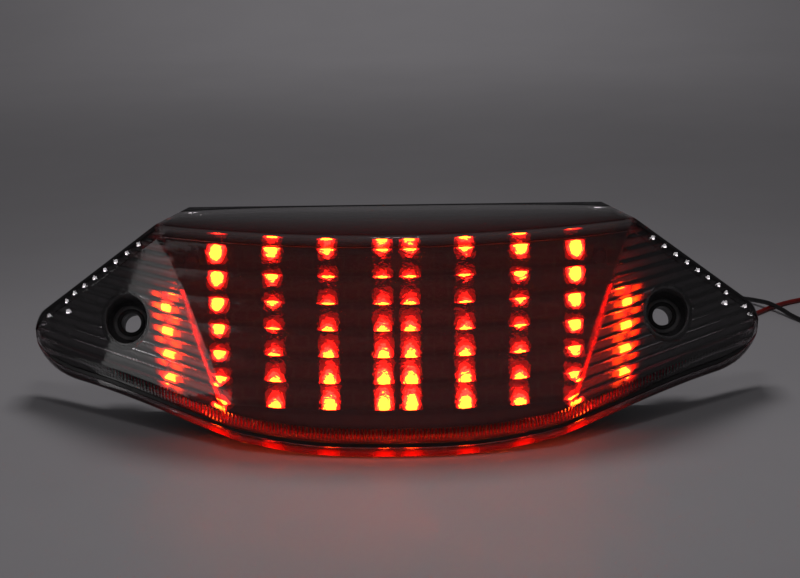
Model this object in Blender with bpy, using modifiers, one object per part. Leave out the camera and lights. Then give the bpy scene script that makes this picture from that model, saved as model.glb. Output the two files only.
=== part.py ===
"""LED tail light for a motorcycle, as an assembly of separate pieces.

The lamp stands on the lower edge of its lens, lens towards -Y, in metres, +Z up. The lens is a
smoked shell with a curved middle, two swept-back ears and a flat top panel. A tray-like housing
closes it from behind and holds the LED board. Two screw posts run through the ears. Both leads
leave the housing through a grommet and lie on the surface that the lamp stands on.
"""

import math

import bmesh
import bpy
from mathutils import Matrix, Vector

GAP = 0.0003  # between pieces that touch
LAMP_MIDDLE_Y = 0.0411  # halfway between the front of the lens and the back of the ears

# Lens front
TOP_Z = 0.0838
FRONT_RADIUS = 0.186  # plan radius of the middle of the front
EAR_START = (0.0877, 0.0217, 0.0829)  # where the right ear's face meets the top corner
EAR_SWEEP = 0.72  # an ear's face runs back by this much for each metre outwards
EAR_LEAN = -0.103  # and by this much for each metre up
CREASE_LOW_X = 0.0588  # the crease between middle and ear, at the bottom and at the top
CREASE_HIGH_X = 0.0855

# Silhouette, seen from the front
SHOULDER = (0.0872, 0.0215, TOP_Z)  # a point on the sloping top of the right ear
SHOULDER_FALL = 0.674
SHOULDER_BACK_FALL = 0.222
SHOULDER_SECANT = 1.31  # turns a wall thickness into a height on that slope
TIP_RADIUS = 0.016
TIP_CENTRE_X = 0.1258
TIP_CENTRE_Z = 0.0298
TIP_JOIN = 0.647  # part of the tip's radius past its centre where the sloping top meets its arc
TIP_ANGLES = (20, 40, 56, 70, 79)
KEEL_RISE = 0.0138  # the lower edge is flat in the middle and rises to the ears
KEEL_FLAT_X = 0.019
KEEL_SPAN = 0.119
MIDDLE_COLUMNS = 8
EAR_COLUMNS = 4

# Rows of the lens front: height above the lower edge and how far the front is set back there
LIP_ROWS = ((0, 0.0046), (0.0004, 0.0028), (0.0016, 0.0013), (0.0042, 0.0007))
GROOVE_ROWS = ((0.0043, 0.0019), (0.0064, 0.0019))
STRIP_ROWS = ((0.0065, 0.0007), (0.0107, 0.0005))
# and depth below the upper edge
BAND_ROWS = ((0.0046, 0.0005), (0.0042, 0), (0.0018, 0.0001), (0.0006, 0.0008), (0, 0.0022))
FACE_ROWS = 5
FULL_ROW_HEIGHT = 0.030  # below this height the rows move closer together

# Joint between lens and housing
LENS_WALL = 0.0020
LENS_FRONT_WALL = 0.0027  # measured along Y, as the ears are oblique
RIM_DEPTH = 0.012  # behind the front
PANEL_REACH = 0.036  # further back than that at the top, in the middle
PANEL_HALF = 0.092
SEAL_THICKNESS = 0.0010
SEAL_WIDTH = 0.0017
HOUSING_WALL = 0.0022
REAR_Y = 0.060
EAR_DEPTH = 0.016
CHAMFER_Y = 0.0505  # the housing's top falls from here back
CHAMFER_FALL = 0.55
PLAIN_ROWS = 6
PAST = 0.006  # how far a cutter runs past what it cuts

# Screw posts
POST_X = 0.1014
POST_Y = 0.050
POST_Z = 0.0388
POST_TILT = math.radians(22)
CUP_RADIUS = 0.0088
CUP_WALL = 0.0016
CUP_FLOOR = 0.0020
CUP_REACH = 0.030  # from the floor forward, to beyond the face
CUP_SETBACK = 0.0007  # of the cup's wall behind the face
POST_HOLE_RADIUS = 0.0053
BOSS_RADIUS = 0.0095
BOSS_LENGTH = 0.016
BOSS_SEAT = 0.0040  # the bush fills the boss down to here
BOSS_BORE_RADIUS = 0.0047
BUSH_LENGTH = 0.0032
BUSH_RADIUS = 0.0050
BUSH_FLANGE_RADIUS = 0.0069
BUSH_FLANGE = 0.0012
BUSH_BORE_RADIUS = 0.00365

# LED board
BOARD_Y = 0.036
BOARD_THICKNESS = 0.0016
BOARD_HALF_OUTLINE = ((0.060, 0.0085), (0.0903, 0.020), (0.0903, 0.056), (0.080, 0.079))
LED_COLUMNS = (0.00508, 0.0254, 0.04572, 0.06604)
LED_EAR_COLUMN = 0.0845
LED_FIRST_Z = 0.0125
LED_EAR_FIRST_Z = 0.0225
LED_PITCH = 0.0097
LED_ROWS = 7
LED_EAR_ROWS = 4
LED_SIDE = 0.0076
LED_DEPTH = 0.0030
LED_DOME_RADIUS = 0.0027
LED_DOME_HEIGHT = 0.0026
RAIL_WIDTH = 0.0050
RAIL_THICKNESS = 0.0010
BOARD_POSTS = ((0.0753, 0.025), (0.0753, 0.067))
BOARD_POST_RADIUS = 0.0032
SCREW_RADIUS = 0.0013
SCREW_LENGTH = 0.0095
SCREW_HEAD_RADIUS = 0.0028
SCREW_HEAD_HEIGHT = 0.0018

# Parts on the back of the board: centre x, centre z
RESISTORS = ((-0.055, 0.030), (-0.055, 0.036), (-0.055, 0.042))
RESISTORS += ((0.055, 0.050), (0.055, 0.056), (0.055, 0.062))
RESISTOR_BODY = (0.0012, 0.0063)  # radius, length
DIODES = ((0.012, 0.030), (0.012, 0.037))
DIODE_BODY = (0.0014, 0.0052)
WIRE_END_RADIUS = 0.0003
WIRE_END_LENGTH = 0.0025
REGULATOR = (-0.020, 0.048)
CAPACITOR = (0.002, 0.058)
CAPACITOR_RADIUS = 0.0040
CAPACITOR_HEIGHT = 0.0110
HEADER = (0.040, 0.036)

# Leads
LEAD_RADIUS = 0.00105
LEAD_HALF_SPACING = 0.0012
GROMMET_X = 0.040
GROMMET_Z = 0.026
GROMMET_BORE = 0.0026
GROMMET_GROOVE_RADIUS = 0.0042
GROMMET_FLANGE_RADIUS = 0.0058
GROMMET_NOSE_RADIUS = 0.0034
GROMMET_NOSE_LENGTH = 0.0100
LEAD_START_Y = REAR_Y - 0.0010
TABLE = LEAD_RADIUS + 0.00005  # height of a lead that lies on the surface
COIL_RADIUS = 0.0115
COIL_INNER_RADIUS = 0.0092
COIL_OUTER_RADIUS = 0.0138
COIL_HEIGHT = 0.0044
BLACK_COIL = (0.200, 0.150)
RED_COIL = (0.210, 0.203)
BLACK_ROUTE = (
    (0.0388, LEAD_START_Y, 0.0260),
    (0.0388, 0.068, 0.0260),
    (0.0390, 0.076, 0.0252),
    (0.0402, 0.085, 0.0200),
    (0.0440, 0.096, 0.0105),
    (0.0500, 0.108, 0.0035),
    (0.0590, 0.121, TABLE),
    (0.0720, 0.140, TABLE),
    (0.0870, 0.161, TABLE),
    (0.1040, 0.183, TABLE),
    (0.1220, 0.203, TABLE),
    (0.1390, 0.215, TABLE),
    (0.1530, 0.215, TABLE),
    (0.1625, 0.2075, 0.0018),
    (0.1675, 0.1995, 0.0029),
    (0.1713, 0.1928, 0.0034),
    (0.1757, 0.1845, 0.0026),
    (0.1785, 0.1790, 0.0016),
    (0.1820, 0.1720, TABLE),
    (0.1853, 0.1650, TABLE),
    (0.1870, 0.1590, TABLE),
)
RED_ROUTE = (
    (0.0412, LEAD_START_Y, 0.0260),
    (0.0412, 0.068, 0.0260),
    (0.0420, 0.076, 0.0248),
    (0.0450, 0.085, 0.0190),
    (0.0510, 0.095, 0.0098),
    (0.0600, 0.106, 0.0030),
    (0.0730, 0.118, TABLE),
    (0.0900, 0.131, TABLE),
    (0.1100, 0.1445, TABLE),
    (0.1300, 0.157, TABLE),
    (0.1470, 0.1685, TABLE),
    (0.1570, 0.1775, TABLE),
    (0.1640, 0.1850, TABLE),
    (0.1700, 0.1920, TABLE),
    (0.1750, 0.1970, TABLE),
    (0.1815, 0.2024, TABLE),
    (0.1880, 0.2066, TABLE),
    (0.1960, 0.2110, TABLE),
)
TUBE_STEP = 0.0060
CURVE_SAMPLES = 600
BLACK_PLUG = ((0.2130, 0.164), (0.0010, 0.0200))  # start and direction on the surface
RED_PLUG = ((0.2240, 0.187), (0.0010, -0.0200))
PLUG_SLEEVE_RADIUS = 0.0023
PLUG_SLEEVE_LENGTH = 0.0130
PLUG_CORE_RADIUS = 0.0016
PLUG_PIN_RADIUS = 0.0019
PLUG_PIN_LENGTH = 0.0080
INNER_WIRE_RADIUS = 0.0009


# Scene helpers


def clear_scene():
    for obj in list(bpy.data.objects):
        bpy.data.objects.remove(obj, do_unlink=True)


def new_collection(name):
    collection = bpy.data.collections.new(name)
    bpy.context.scene.collection.children.link(collection)
    return collection


def material(name, colour, roughness, metallic=0.0):
    made = bpy.data.materials.new(name)
    made.use_nodes = True
    shader = made.node_tree.nodes["Principled BSDF"]
    shader.inputs["Base Color"].default_value = (*colour, 1)
    shader.inputs["Roughness"].default_value = roughness
    shader.inputs["Metallic"].default_value = metallic
    made.diffuse_color = (*colour, 1)
    return made


def add_object(name, data, collection, look=None):
    obj = bpy.data.objects.new(name, data)
    collection.objects.link(obj)
    if look is not None:
        data.materials.clear()
        data.materials.append(look)
    return obj


def mesh_from(name, bm):
    bmesh.ops.recalc_face_normals(bm, faces=bm.faces)
    mesh = bpy.data.meshes.new(name)
    bm.to_mesh(mesh)
    bm.free()
    return mesh


def smooth(mesh, angle=35):
    mesh.shade_smooth()
    mesh.set_sharp_from_angle(angle=math.radians(angle))


def add_boolean(obj, other, operation):
    modifier = obj.modifiers.new(f"{operation.lower()}_{other.name}", "BOOLEAN")
    modifier.operation = operation
    modifier.object = other
    modifier.solver = "EXACT"


def as_cutter(obj):
    obj.hide_render = True
    obj.display_type = "WIRE"
    return obj


def baked(obj):
    """The evaluated mesh of an object, which is then removed."""
    graph = bpy.context.evaluated_depsgraph_get()
    mesh = bpy.data.meshes.new_from_object(obj.evaluated_get(graph))
    bpy.data.objects.remove(obj, do_unlink=True)
    return mesh


# Surfaces of the lamp


def ear_y(x, z):
    start_x, start_y, start_z = EAR_START
    return start_y + EAR_SWEEP * (abs(x) - start_x) + EAR_LEAN * (z - start_z)


def face_y(x, z):
    middle = FRONT_RADIUS - math.sqrt(FRONT_RADIUS**2 - x**2)
    return max(middle, ear_y(x, z))


def rim_y(x, z, low, high):
    """Where lens and housing meet: close behind the front, and further back towards the top panel."""
    reach = max(0.0, 1 - (abs(x) / PANEL_HALF) ** 2.2) ** 0.8
    rise = (z - low) / (high - low)
    return face_y(x, z) + RIM_DEPTH + PANEL_REACH * reach * rise


def rear_y(x, z):
    return max(REAR_Y, ear_y(x, z) + EAR_DEPTH)


def keel_z(x):
    turn = min(max((abs(x) - KEEL_FLAT_X) / KEEL_SPAN, 0.0), 1.0)
    return KEEL_RISE * math.sin(turn * math.pi / 2) ** 2


def shoulder_z(x):
    """Height of an ear's upper edge, where its sloping top meets its face."""
    flat = SHOULDER[2] - SHOULDER_FALL * (abs(x) - SHOULDER[0])
    at_face = flat - SHOULDER_BACK_FALL * (ear_y(x, 0) - SHOULDER[1])
    return at_face / (1 + SHOULDER_BACK_FALL * EAR_LEAN)


def outline(x, inset):
    """Lowest and highest point of the silhouette at x, moved inwards by inset."""
    x = abs(x)
    radius = TIP_RADIUS - inset
    past = x - TIP_CENTRE_X
    half = math.sqrt(max(radius**2 - past**2, 0.0)) if past > 0 else 0.0
    low = TIP_CENTRE_Z - half if past > 0 else keel_z(x) + inset
    high = min(TOP_Z - inset, shoulder_z(x) - SHOULDER_SECANT * inset)
    if past > TIP_JOIN * radius:
        high = TIP_CENTRE_Z + half
    return low, high


def columns(inset):
    """Pairs of x at the lower and at the upper edge, from tip to tip, with one on each crease."""
    half = []
    for i in range(MIDDLE_COLUMNS + 1):
        part = i / MIDDLE_COLUMNS
        half.append((CREASE_LOW_X * part, CREASE_HIGH_X * part))
    for i in range(1, EAR_COLUMNS + 1):
        part = i / EAR_COLUMNS
        low = CREASE_LOW_X + (TIP_CENTRE_X - CREASE_LOW_X) * part
        high = CREASE_HIGH_X + (TIP_CENTRE_X - CREASE_HIGH_X) * part
        half.append((low, high))
    for angle in TIP_ANGLES:
        x = TIP_CENTRE_X + (TIP_RADIUS - inset) * math.sin(math.radians(angle))
        half.append((x, x))
    return [(-low, -high) for low, high in reversed(half[1:])] + half


def lens_rows(low, high):
    """(height, set-back) of each row of the lens front between low and high."""
    scale = min(1.0, (high - low) / FULL_ROW_HEIGHT)
    rows = [(low + up * scale, back) for up, back in LIP_ROWS + GROOVE_ROWS + STRIP_ROWS]
    bottom = rows[-1][0]
    top = high - BAND_ROWS[0][0] * scale
    for i in range(1, FACE_ROWS + 1):
        rows.append((bottom + (top - bottom) * i / (FACE_ROWS + 1), 0.0005))
    rows += [(high - down * scale, back) for down, back in BAND_ROWS]
    return rows


def plain_rows(low, high):
    return [(low + (high - low) * i / PLAIN_ROWS, 0.0) for i in range(PLAIN_ROWS + 1)]


def slab(name, inset, rows_of, front, back, used=None):
    """A closed solid between two surfaces y = front(...) and y = back(...), inside the silhouette."""
    bm = bmesh.new()
    sheets = ([], [])
    for low_x, high_x in (used or columns(inset)):
        low = outline(low_x, inset)[0]
        high = outline(high_x, inset)[1]
        fronts = []
        backs = []
        for z, set_back in rows_of(low, high):
            x = low_x + (high_x - low_x) * (z - low) / (high - low)
            fronts.append(bm.verts.new((x, front(x, z, low, high) + set_back, z)))
            backs.append(bm.verts.new((x, back(x, z, low, high), z)))
        sheets[0].append(fronts)
        sheets[1].append(backs)
    for sheet in sheets:
        for left, right in zip(sheet, sheet[1:]):
            for i in range(len(left) - 1):
                bm.faces.new((left[i], right[i], right[i + 1], left[i + 1]))
    fronts, backs = sheets
    for i in range(len(fronts) - 1):
        for row in (0, -1):
            bm.faces.new((fronts[i][row], fronts[i + 1][row], backs[i + 1][row], backs[i][row]))
    for i in range(len(fronts[0]) - 1):
        for end in (0, -1):
            bm.faces.new((fronts[end][i], fronts[end][i + 1], backs[end][i + 1], backs[end][i]))
    trim_shoulders(bm, inset)
    return mesh_from(name, bm)


def cut_plane(bm, point, normal):
    """Removes what lies on the normal's side of a plane, and closes the cut."""
    geometry = bm.verts[:] + bm.edges[:] + bm.faces[:]
    cut = bmesh.ops.bisect_plane(
        bm, geom=geometry, dist=2e-6, plane_co=point, plane_no=normal, clear_outer=True
    )
    edges = [item for item in cut["geom_cut"] if isinstance(item, bmesh.types.BMEdge)]
    bmesh.ops.holes_fill(bm, edges=[edge for edge in edges if edge.is_boundary], sides=0)


def trim_shoulders(bm, inset):
    for side in (-1, 1):
        point = (side * SHOULDER[0], SHOULDER[1], SHOULDER[2] - SHOULDER_SECANT * inset)
        cut_plane(bm, point, (side * SHOULDER_FALL, SHOULDER_BACK_FALL, 1))


# Simple shapes


def post_point(side, along):
    """A point on the axis of the left (-1) or right (1) screw post, along metres behind the cup floor."""
    back = along * math.cos(POST_TILT)
    return Vector((side * POST_X, POST_Y + back, POST_Z - along * math.sin(POST_TILT)))


def cylinder(name, start, stop, radius, collection, sides=32, end_radius=None):
    """A capped cylinder, or a cone, from start to stop."""
    start = Vector(start)
    run = Vector(stop) - start
    turn = run.to_track_quat("Z", "Y").to_matrix().to_4x4()
    bm = bmesh.new()
    bmesh.ops.create_cone(
        bm,
        cap_ends=True,
        segments=sides,
        radius1=radius,
        radius2=radius if end_radius is None else end_radius,
        depth=run.length,
        matrix=Matrix.Translation(start + run / 2) @ turn,
    )
    return add_object(name, mesh_from(name, bm), collection)


def post_cylinder(name, side, start, stop, radius, collection):
    return cylinder(name, post_point(side, start), post_point(side, stop), radius, collection)


def add_box(bm, centre, size):
    matrix = Matrix.Translation(centre) @ Matrix.Diagonal((*size, 1))
    bmesh.ops.create_cube(bm, size=1, matrix=matrix)


def box(name, centre, size, collection, look, bevel=0.0):
    bm = bmesh.new()
    add_box(bm, centre, size)
    obj = add_object(name, mesh_from(name, bm), collection, look)
    if bevel:
        modifier = obj.modifiers.new("rounded_edges", "BEVEL")
        modifier.width = bevel
        modifier.segments = 1
    return obj


def turned(name, profile, start, direction, collection, look, steps=24):
    """A turned solid: profile is (radius, distance along direction), from the far end to the near one."""
    bm = bmesh.new()
    points = [bm.verts.new((radius, 0, along)) for radius, along in profile]
    for a, b in zip(points, points[1:]):
        bm.edges.new((a, b))
    if profile[0][0] > 0:
        bm.edges.new((points[-1], points[0]))
    mesh = bpy.data.meshes.new(name)
    bm.to_mesh(mesh)
    bm.free()
    obj = add_object(name, mesh, collection, look)
    obj.location = start
    obj.rotation_euler = Vector(direction).to_track_quat("Z", "Y").to_euler()
    screw = obj.modifiers.new("turn", "SCREW")
    screw.steps = steps
    screw.render_steps = steps
    screw.use_merge_vertices = True
    screw.merge_threshold = 0.00001
    return obj


def catmull(points, part):
    """A point on the smooth curve through points, part from 0 to 1."""
    place = part * (len(points) - 1)
    i = min(int(place), len(points) - 2)
    t = place - i
    a = Vector(points[max(i - 1, 0)])
    b = Vector(points[i])
    c = Vector(points[i + 1])
    d = Vector(points[min(i + 2, len(points) - 1)])
    cubic = 2 * b + (c - a) * t + (2 * a - 5 * b + 4 * c - d) * t**2
    return (cubic + (3 * b - a - 3 * c + d) * t**3) / 2


def even_points(points, step):
    """Points a step apart on the smooth curve through points, none of them under the surface."""
    fine = [catmull(points, i / CURVE_SAMPLES) for i in range(CURVE_SAMPLES + 1)]
    length = sum((b - a).length for a, b in zip(fine, fine[1:]))
    count = max(2, round(length / step))
    spacing = length / count
    kept = [fine[0]]
    run = 0.0
    for a, b in zip(fine, fine[1:]):
        run += (b - a).length
        if run >= spacing * len(kept) and len(kept) < count:
            kept.append(b)
    return [Vector((p.x, p.y, max(p.z, TABLE))) for p in kept + [fine[-1]]]


def tube(name, points, radius, collection, look):
    curve = bpy.data.curves.new(name, "CURVE")
    curve.dimensions = "3D"
    curve.bevel_depth = radius
    curve.bevel_resolution = 2
    curve.use_fill_caps = True
    spline = curve.splines.new("POLY")
    spline.points.add(len(points) - 1)
    for target, point in zip(spline.points, points):
        target.co = (*point, 1)
    return add_object(name, curve, collection, look)


# Pieces


def make_lens(parts, cutters):
    look = material("smoked_lens", (0.10, 0.09, 0.09), 0.08)
    mesh = slab("lens", 0.0, lens_rows, lambda x, z, low, high: face_y(x, z), rim_y)
    lens = add_object("lens", mesh, parts, look)
    inside = slab(
        "lens_inside",
        LENS_WALL,
        plain_rows,
        lambda x, z, low, high: face_y(x, z) + LENS_FRONT_WALL,
        lambda x, z, low, high: rim_y(x, z, low, high) + PAST,
    )
    add_boolean(lens, as_cutter(add_object("lens_inside", inside, cutters)), "DIFFERENCE")
    body = slab(
        "lamp_envelope",
        0.0,
        plain_rows,
        lambda x, z, low, high: face_y(x, z) + CUP_SETBACK,
        lambda x, z, low, high: REAR_Y + CUP_REACH,
    )
    envelope = as_cutter(add_object("lamp_envelope", body, cutters))
    for side, word in ((-1, "left"), (1, "right")):
        cup = post_cylinder(
            f"cup_{word}", side, -CUP_REACH, CUP_FLOOR, CUP_RADIUS + CUP_WALL, cutters
        )
        add_boolean(as_cutter(cup), envelope, "INTERSECT")
        bore = post_cylinder(f"cup_bore_{word}", side, -CUP_REACH - PAST, 0, CUP_RADIUS, cutters)
        hole = post_cylinder(
            f"cup_hole_{word}", side, -PAST, CUP_FLOOR + PAST, POST_HOLE_RADIUS, cutters
        )
        add_boolean(lens, cup, "UNION")
        add_boolean(lens, as_cutter(bore), "DIFFERENCE")
        add_boolean(lens, as_cutter(hole), "DIFFERENCE")


def make_housing(parts, cutters):
    look = material("black_housing", (0.015, 0.015, 0.016), 0.5)
    gap = SEAL_THICKNESS + 2 * GAP
    mesh = slab(
        "rear_housing",
        0.0,
        plain_rows,
        lambda x, z, low, high: rim_y(x, z, low, high) + gap,
        lambda x, z, low, high: rear_y(x, z),
    )
    bm = bmesh.new()
    bm.from_mesh(mesh)
    cut_plane(bm, (0, CHAMFER_Y, TOP_Z), (0, CHAMFER_FALL, 1))
    housing = add_object("rear_housing", mesh_from("rear_housing", bm), parts, look)
    inside = slab(
        "housing_inside",
        HOUSING_WALL,
        plain_rows,
        lambda x, z, low, high: rim_y(x, z, low, high) - PAST,
        lambda x, z, low, high: rear_y(x, z) - HOUSING_WALL,
    )
    bm = bmesh.new()
    bm.from_mesh(inside)
    cut_plane(bm, (0, CHAMFER_Y - HOUSING_WALL, TOP_Z - HOUSING_WALL), (0, CHAMFER_FALL, 1))
    hollow = add_object("housing_inside", mesh_from("housing_inside", bm), cutters)
    add_boolean(housing, as_cutter(hollow), "DIFFERENCE")
    for side, word in ((-1, "left"), (1, "right")):
        start = CUP_FLOOR + GAP
        boss = post_cylinder(f"boss_{word}", side, start, BOSS_LENGTH, BOSS_RADIUS, cutters)
        add_boolean(housing, as_cutter(boss), "UNION")
        seat = post_cylinder(
            f"boss_seat_{word}", side, start - PAST, BOSS_SEAT, POST_HOLE_RADIUS, cutters
        )
        add_boolean(housing, as_cutter(seat), "DIFFERENCE")
        bore = post_cylinder(
            f"boss_bore_{word}", side, start, BOSS_LENGTH + PAST, BOSS_BORE_RADIUS, cutters
        )
        add_boolean(housing, as_cutter(bore), "DIFFERENCE")
        for i, (x, z) in enumerate(BOARD_POSTS):
            near = BOARD_Y + BOARD_THICKNESS + GAP
            post = cylinder(
                f"board_post_{word}_{i}",
                (side * x, near, z),
                (side * x, REAR_Y - HOUSING_WALL / 2, z),
                BOARD_POST_RADIUS,
                cutters,
                sides=16,
            )
            add_boolean(housing, as_cutter(post), "UNION")
            pilot = cylinder(
                f"post_pilot_{word}_{i}",
                (side * x, near - PAST, z),
                (side * x, near + SCREW_LENGTH, z),
                SCREW_RADIUS + GAP,
                cutters,
                sides=12,
            )
            add_boolean(housing, as_cutter(pilot), "DIFFERENCE")
    outlet = cylinder(
        "lead_outlet",
        (GROMMET_X, REAR_Y - PAST, GROMMET_Z),
        (GROMMET_X, REAR_Y + PAST, GROMMET_Z),
        GROMMET_GROOVE_RADIUS + GAP,
        cutters,
        sides=20,
    )
    add_boolean(housing, as_cutter(outlet), "DIFFERENCE")


def make_seals(parts, cutters):
    look = material("black_rubber", (0.012, 0.012, 0.012), 0.7)
    mesh = slab(
        "lens_seal",
        0.00015,
        plain_rows,
        lambda x, z, low, high: rim_y(x, z, low, high) + GAP,
        lambda x, z, low, high: rim_y(x, z, low, high) + GAP + SEAL_THICKNESS,
    )
    seal = add_object("lens_seal", mesh, parts, look)
    inside = slab(
        "seal_inside",
        SEAL_WIDTH,
        plain_rows,
        lambda x, z, low, high: rim_y(x, z, low, high) - PAST,
        lambda x, z, low, high: rim_y(x, z, low, high) + PAST,
    )
    add_boolean(seal, as_cutter(add_object("seal_inside", inside, cutters)), "DIFFERENCE")
    floor = GROOVE_ROWS[0][1]

    def strip_rows(low, high):
        scale = min(1.0, (high - low) / FULL_ROW_HEIGHT)
        bottom = low + (GROOVE_ROWS[0][0] + GAP) * scale
        top = low + (GROOVE_ROWS[1][0] - GAP) * scale
        return [(bottom, 0.0), (top, 0.0)]

    strip = slab(
        "edge_gasket",
        0.0,
        strip_rows,
        lambda x, z, low, high: face_y(x, z) + STRIP_ROWS[0][1] + 0.0001,
        lambda x, z, low, high: face_y(x, z) + floor - GAP,
        used=columns(0.0)[3:-3],
    )
    add_object("edge_gasket", strip, parts, look)


def make_board(parts, cutters):
    look = material("circuit_board", (0.02, 0.10, 0.04), 0.45)
    points = [(x, z) for x, z in BOARD_HALF_OUTLINE]
    points += [(-x, z) for x, z in reversed(BOARD_HALF_OUTLINE)]
    bm = bmesh.new()
    face = bm.faces.new([bm.verts.new((x, BOARD_Y, z)) for x, z in points])
    made = bmesh.ops.extrude_face_region(bm, geom=[face])
    moved = [item for item in made["geom"] if isinstance(item, bmesh.types.BMVert)]
    bmesh.ops.translate(bm, verts=moved, vec=(0, BOARD_THICKNESS, 0))
    board = add_object("main_circuit_board", mesh_from("main_circuit_board", bm), parts, look)
    for side, word in ((-1, "left"), (1, "right")):
        for i, (x, z) in enumerate(BOARD_POSTS):
            hole = cylinder(
                f"board_hole_{word}_{i}",
                (side * x, BOARD_Y - PAST, z),
                (side * x, BOARD_Y + PAST, z),
                SCREW_RADIUS + GAP,
                cutters,
                sides=12,
            )
            add_boolean(board, as_cutter(hole), "DIFFERENCE")


def led_column_mesh(name, rows, first_z, cutters):
    """LED packages one above the other, joined by the rail that their legs are soldered to."""
    back = BOARD_Y - GAP
    last_z = first_z + LED_PITCH * (rows - 1)
    bm = bmesh.new()
    size = (RAIL_WIDTH, RAIL_THICKNESS, last_z - first_z)
    add_box(bm, (0, back - RAIL_THICKNESS / 2, (first_z + last_z) / 2), size)
    rail = add_object(name, mesh_from(name, bm), cutters)
    helpers = []
    packages = bmesh.new()
    domes = bmesh.new()
    turn = Matrix.Rotation(math.radians(90), 4, "X")
    for row in range(rows):
        z = first_z + LED_PITCH * row
        add_box(packages, (0, back - LED_DEPTH / 2, z), (LED_SIDE, LED_DEPTH, LED_SIDE))
        middle = back - LED_DEPTH - LED_DOME_HEIGHT / 2 + 0.0001
        bmesh.ops.create_cone(
            domes,
            cap_ends=True,
            segments=8,
            radius1=LED_DOME_RADIUS,
            radius2=LED_DOME_RADIUS * 0.6,
            depth=LED_DOME_HEIGHT,
            matrix=Matrix.Translation((0, middle, z)) @ turn,
        )
    for word, bm in (("packages", packages), ("domes", domes)):
        helper = add_object(f"{name}_{word}", mesh_from(f"{name}_{word}", bm), cutters)
        add_boolean(rail, helper, "UNION")
        helpers.append(helper)
    mesh = baked(rail)
    for helper in helpers:
        bpy.data.objects.remove(helper, do_unlink=True)
    return mesh


def make_leds(parts, cutters):
    look = material("led_red", (0.8, 0.05, 0.02), 0.2)
    tall = led_column_mesh("led_column", LED_ROWS, LED_FIRST_Z, cutters)
    short = led_column_mesh("led_ear_column", LED_EAR_ROWS, LED_EAR_FIRST_Z, cutters)
    places = [-LED_EAR_COLUMN] + [-x for x in reversed(LED_COLUMNS)]
    places += list(LED_COLUMNS) + [LED_EAR_COLUMN]
    for number, x in enumerate(places, start=1):
        mesh = short if abs(x) == LED_EAR_COLUMN else tall
        column = add_object(f"led_column_{number:02d}", mesh, parts, look)
        column.location = (x, 0, 0)


def make_screws(parts):
    look = material("screw_steel", (0.6, 0.6, 0.62), 0.3, 1.0)
    under = BOARD_Y - GAP
    profile = (
        (0, SCREW_LENGTH),
        (SCREW_RADIUS, SCREW_LENGTH),
        (SCREW_RADIUS, 0),
        (SCREW_HEAD_RADIUS, 0),
        (SCREW_HEAD_RADIUS * 0.8, -SCREW_HEAD_HEIGHT),
        (0, -SCREW_HEAD_HEIGHT),
    )
    number = 1
    for side in (-1, 1):
        for x, z in BOARD_POSTS:
            start = (side * x, under, z)
            turned(f"board_screw_{number}", profile, start, (0, 1, 0), parts, look, steps=12)
            number += 1


def axial_part(name, body, place, parts, look):
    """A small round body with a wire at each end, lying along X on the back of the board."""
    radius, length = body
    half = length / 2
    end = half + WIRE_END_LENGTH
    profile = (
        (0, end),
        (WIRE_END_RADIUS, end),
        (WIRE_END_RADIUS, half),
        (radius, half),
        (radius, -half),
        (WIRE_END_RADIUS, -half),
        (WIRE_END_RADIUS, -end),
        (0, -end),
    )
    x, z = place
    y = BOARD_Y + BOARD_THICKNESS + GAP + radius
    turned(name, profile, (x, y, z), (1, 0, 0), parts, look, steps=12)


def make_components(parts, cutters):
    back = BOARD_Y + BOARD_THICKNESS + GAP
    tan = material("resistor_body", (0.55, 0.42, 0.28), 0.5)
    black = material("component_black", (0.02, 0.02, 0.02), 0.4)
    for number, place in enumerate(RESISTORS, start=1):
        axial_part(f"resistor_{number}", RESISTOR_BODY, place, parts, tan)
    for number, place in enumerate(DIODES, start=1):
        axial_part(f"rectifier_diode_{number}", DIODE_BODY, place, parts, black)
    x, z = CAPACITOR
    can = ((0, CAPACITOR_HEIGHT), (CAPACITOR_RADIUS, CAPACITOR_HEIGHT), (CAPACITOR_RADIUS, 0), (0, 0))
    turned("smoothing_capacitor", can, (x, back, z), (0, 1, 0), parts, black, steps=20)
    x, z = REGULATOR
    regulator = box(
        "voltage_regulator", (x, back + 0.0022, z), (0.010, 0.0044, 0.009), parts, black
    )
    bm = bmesh.new()
    add_box(bm, (x, back + 0.0007, z + 0.006), (0.010, 0.0013, 0.0090))
    tab = add_object("regulator_tab", mesh_from("regulator_tab", bm), cutters)
    add_boolean(regulator, as_cutter(tab), "UNION")
    x, z = HEADER
    white = material("connector_white", (0.75, 0.73, 0.68), 0.5)
    box("board_header", (x, back + 0.003, z), (0.0078, 0.006, 0.006), parts, white)
    plug_y = back + 0.006 + GAP + 0.0035
    box("harness_plug", (x, plug_y, z), (0.0074, 0.007, 0.0056), parts, white)


def make_inner_wires(parts):
    start_y = BOARD_Y + BOARD_THICKNESS + 3 * GAP + 0.013
    end_y = LEAD_START_Y - GAP
    for word, side, colour in (
        ("black", -1, (0.015, 0.015, 0.015)),
        ("red", 1, (0.35, 0.01, 0.01)),
    ):
        x = GROMMET_X + side * LEAD_HALF_SPACING
        route = (
            (x, start_y, HEADER[1]),
            (x, start_y + 0.0022, HEADER[1] - 0.0010),
            (x, start_y + 0.0026, (HEADER[1] + GROMMET_Z) / 2),
            (x, end_y - 0.0030, GROMMET_Z + 0.0006),
            (x, end_y, GROMMET_Z),
        )
        look = material(f"inner_wire_{word}", colour, 0.45)
        points = even_points(route, 0.0016)
        tube(f"inner_wire_{word}", points, INNER_WIRE_RADIUS, parts, look)


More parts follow.
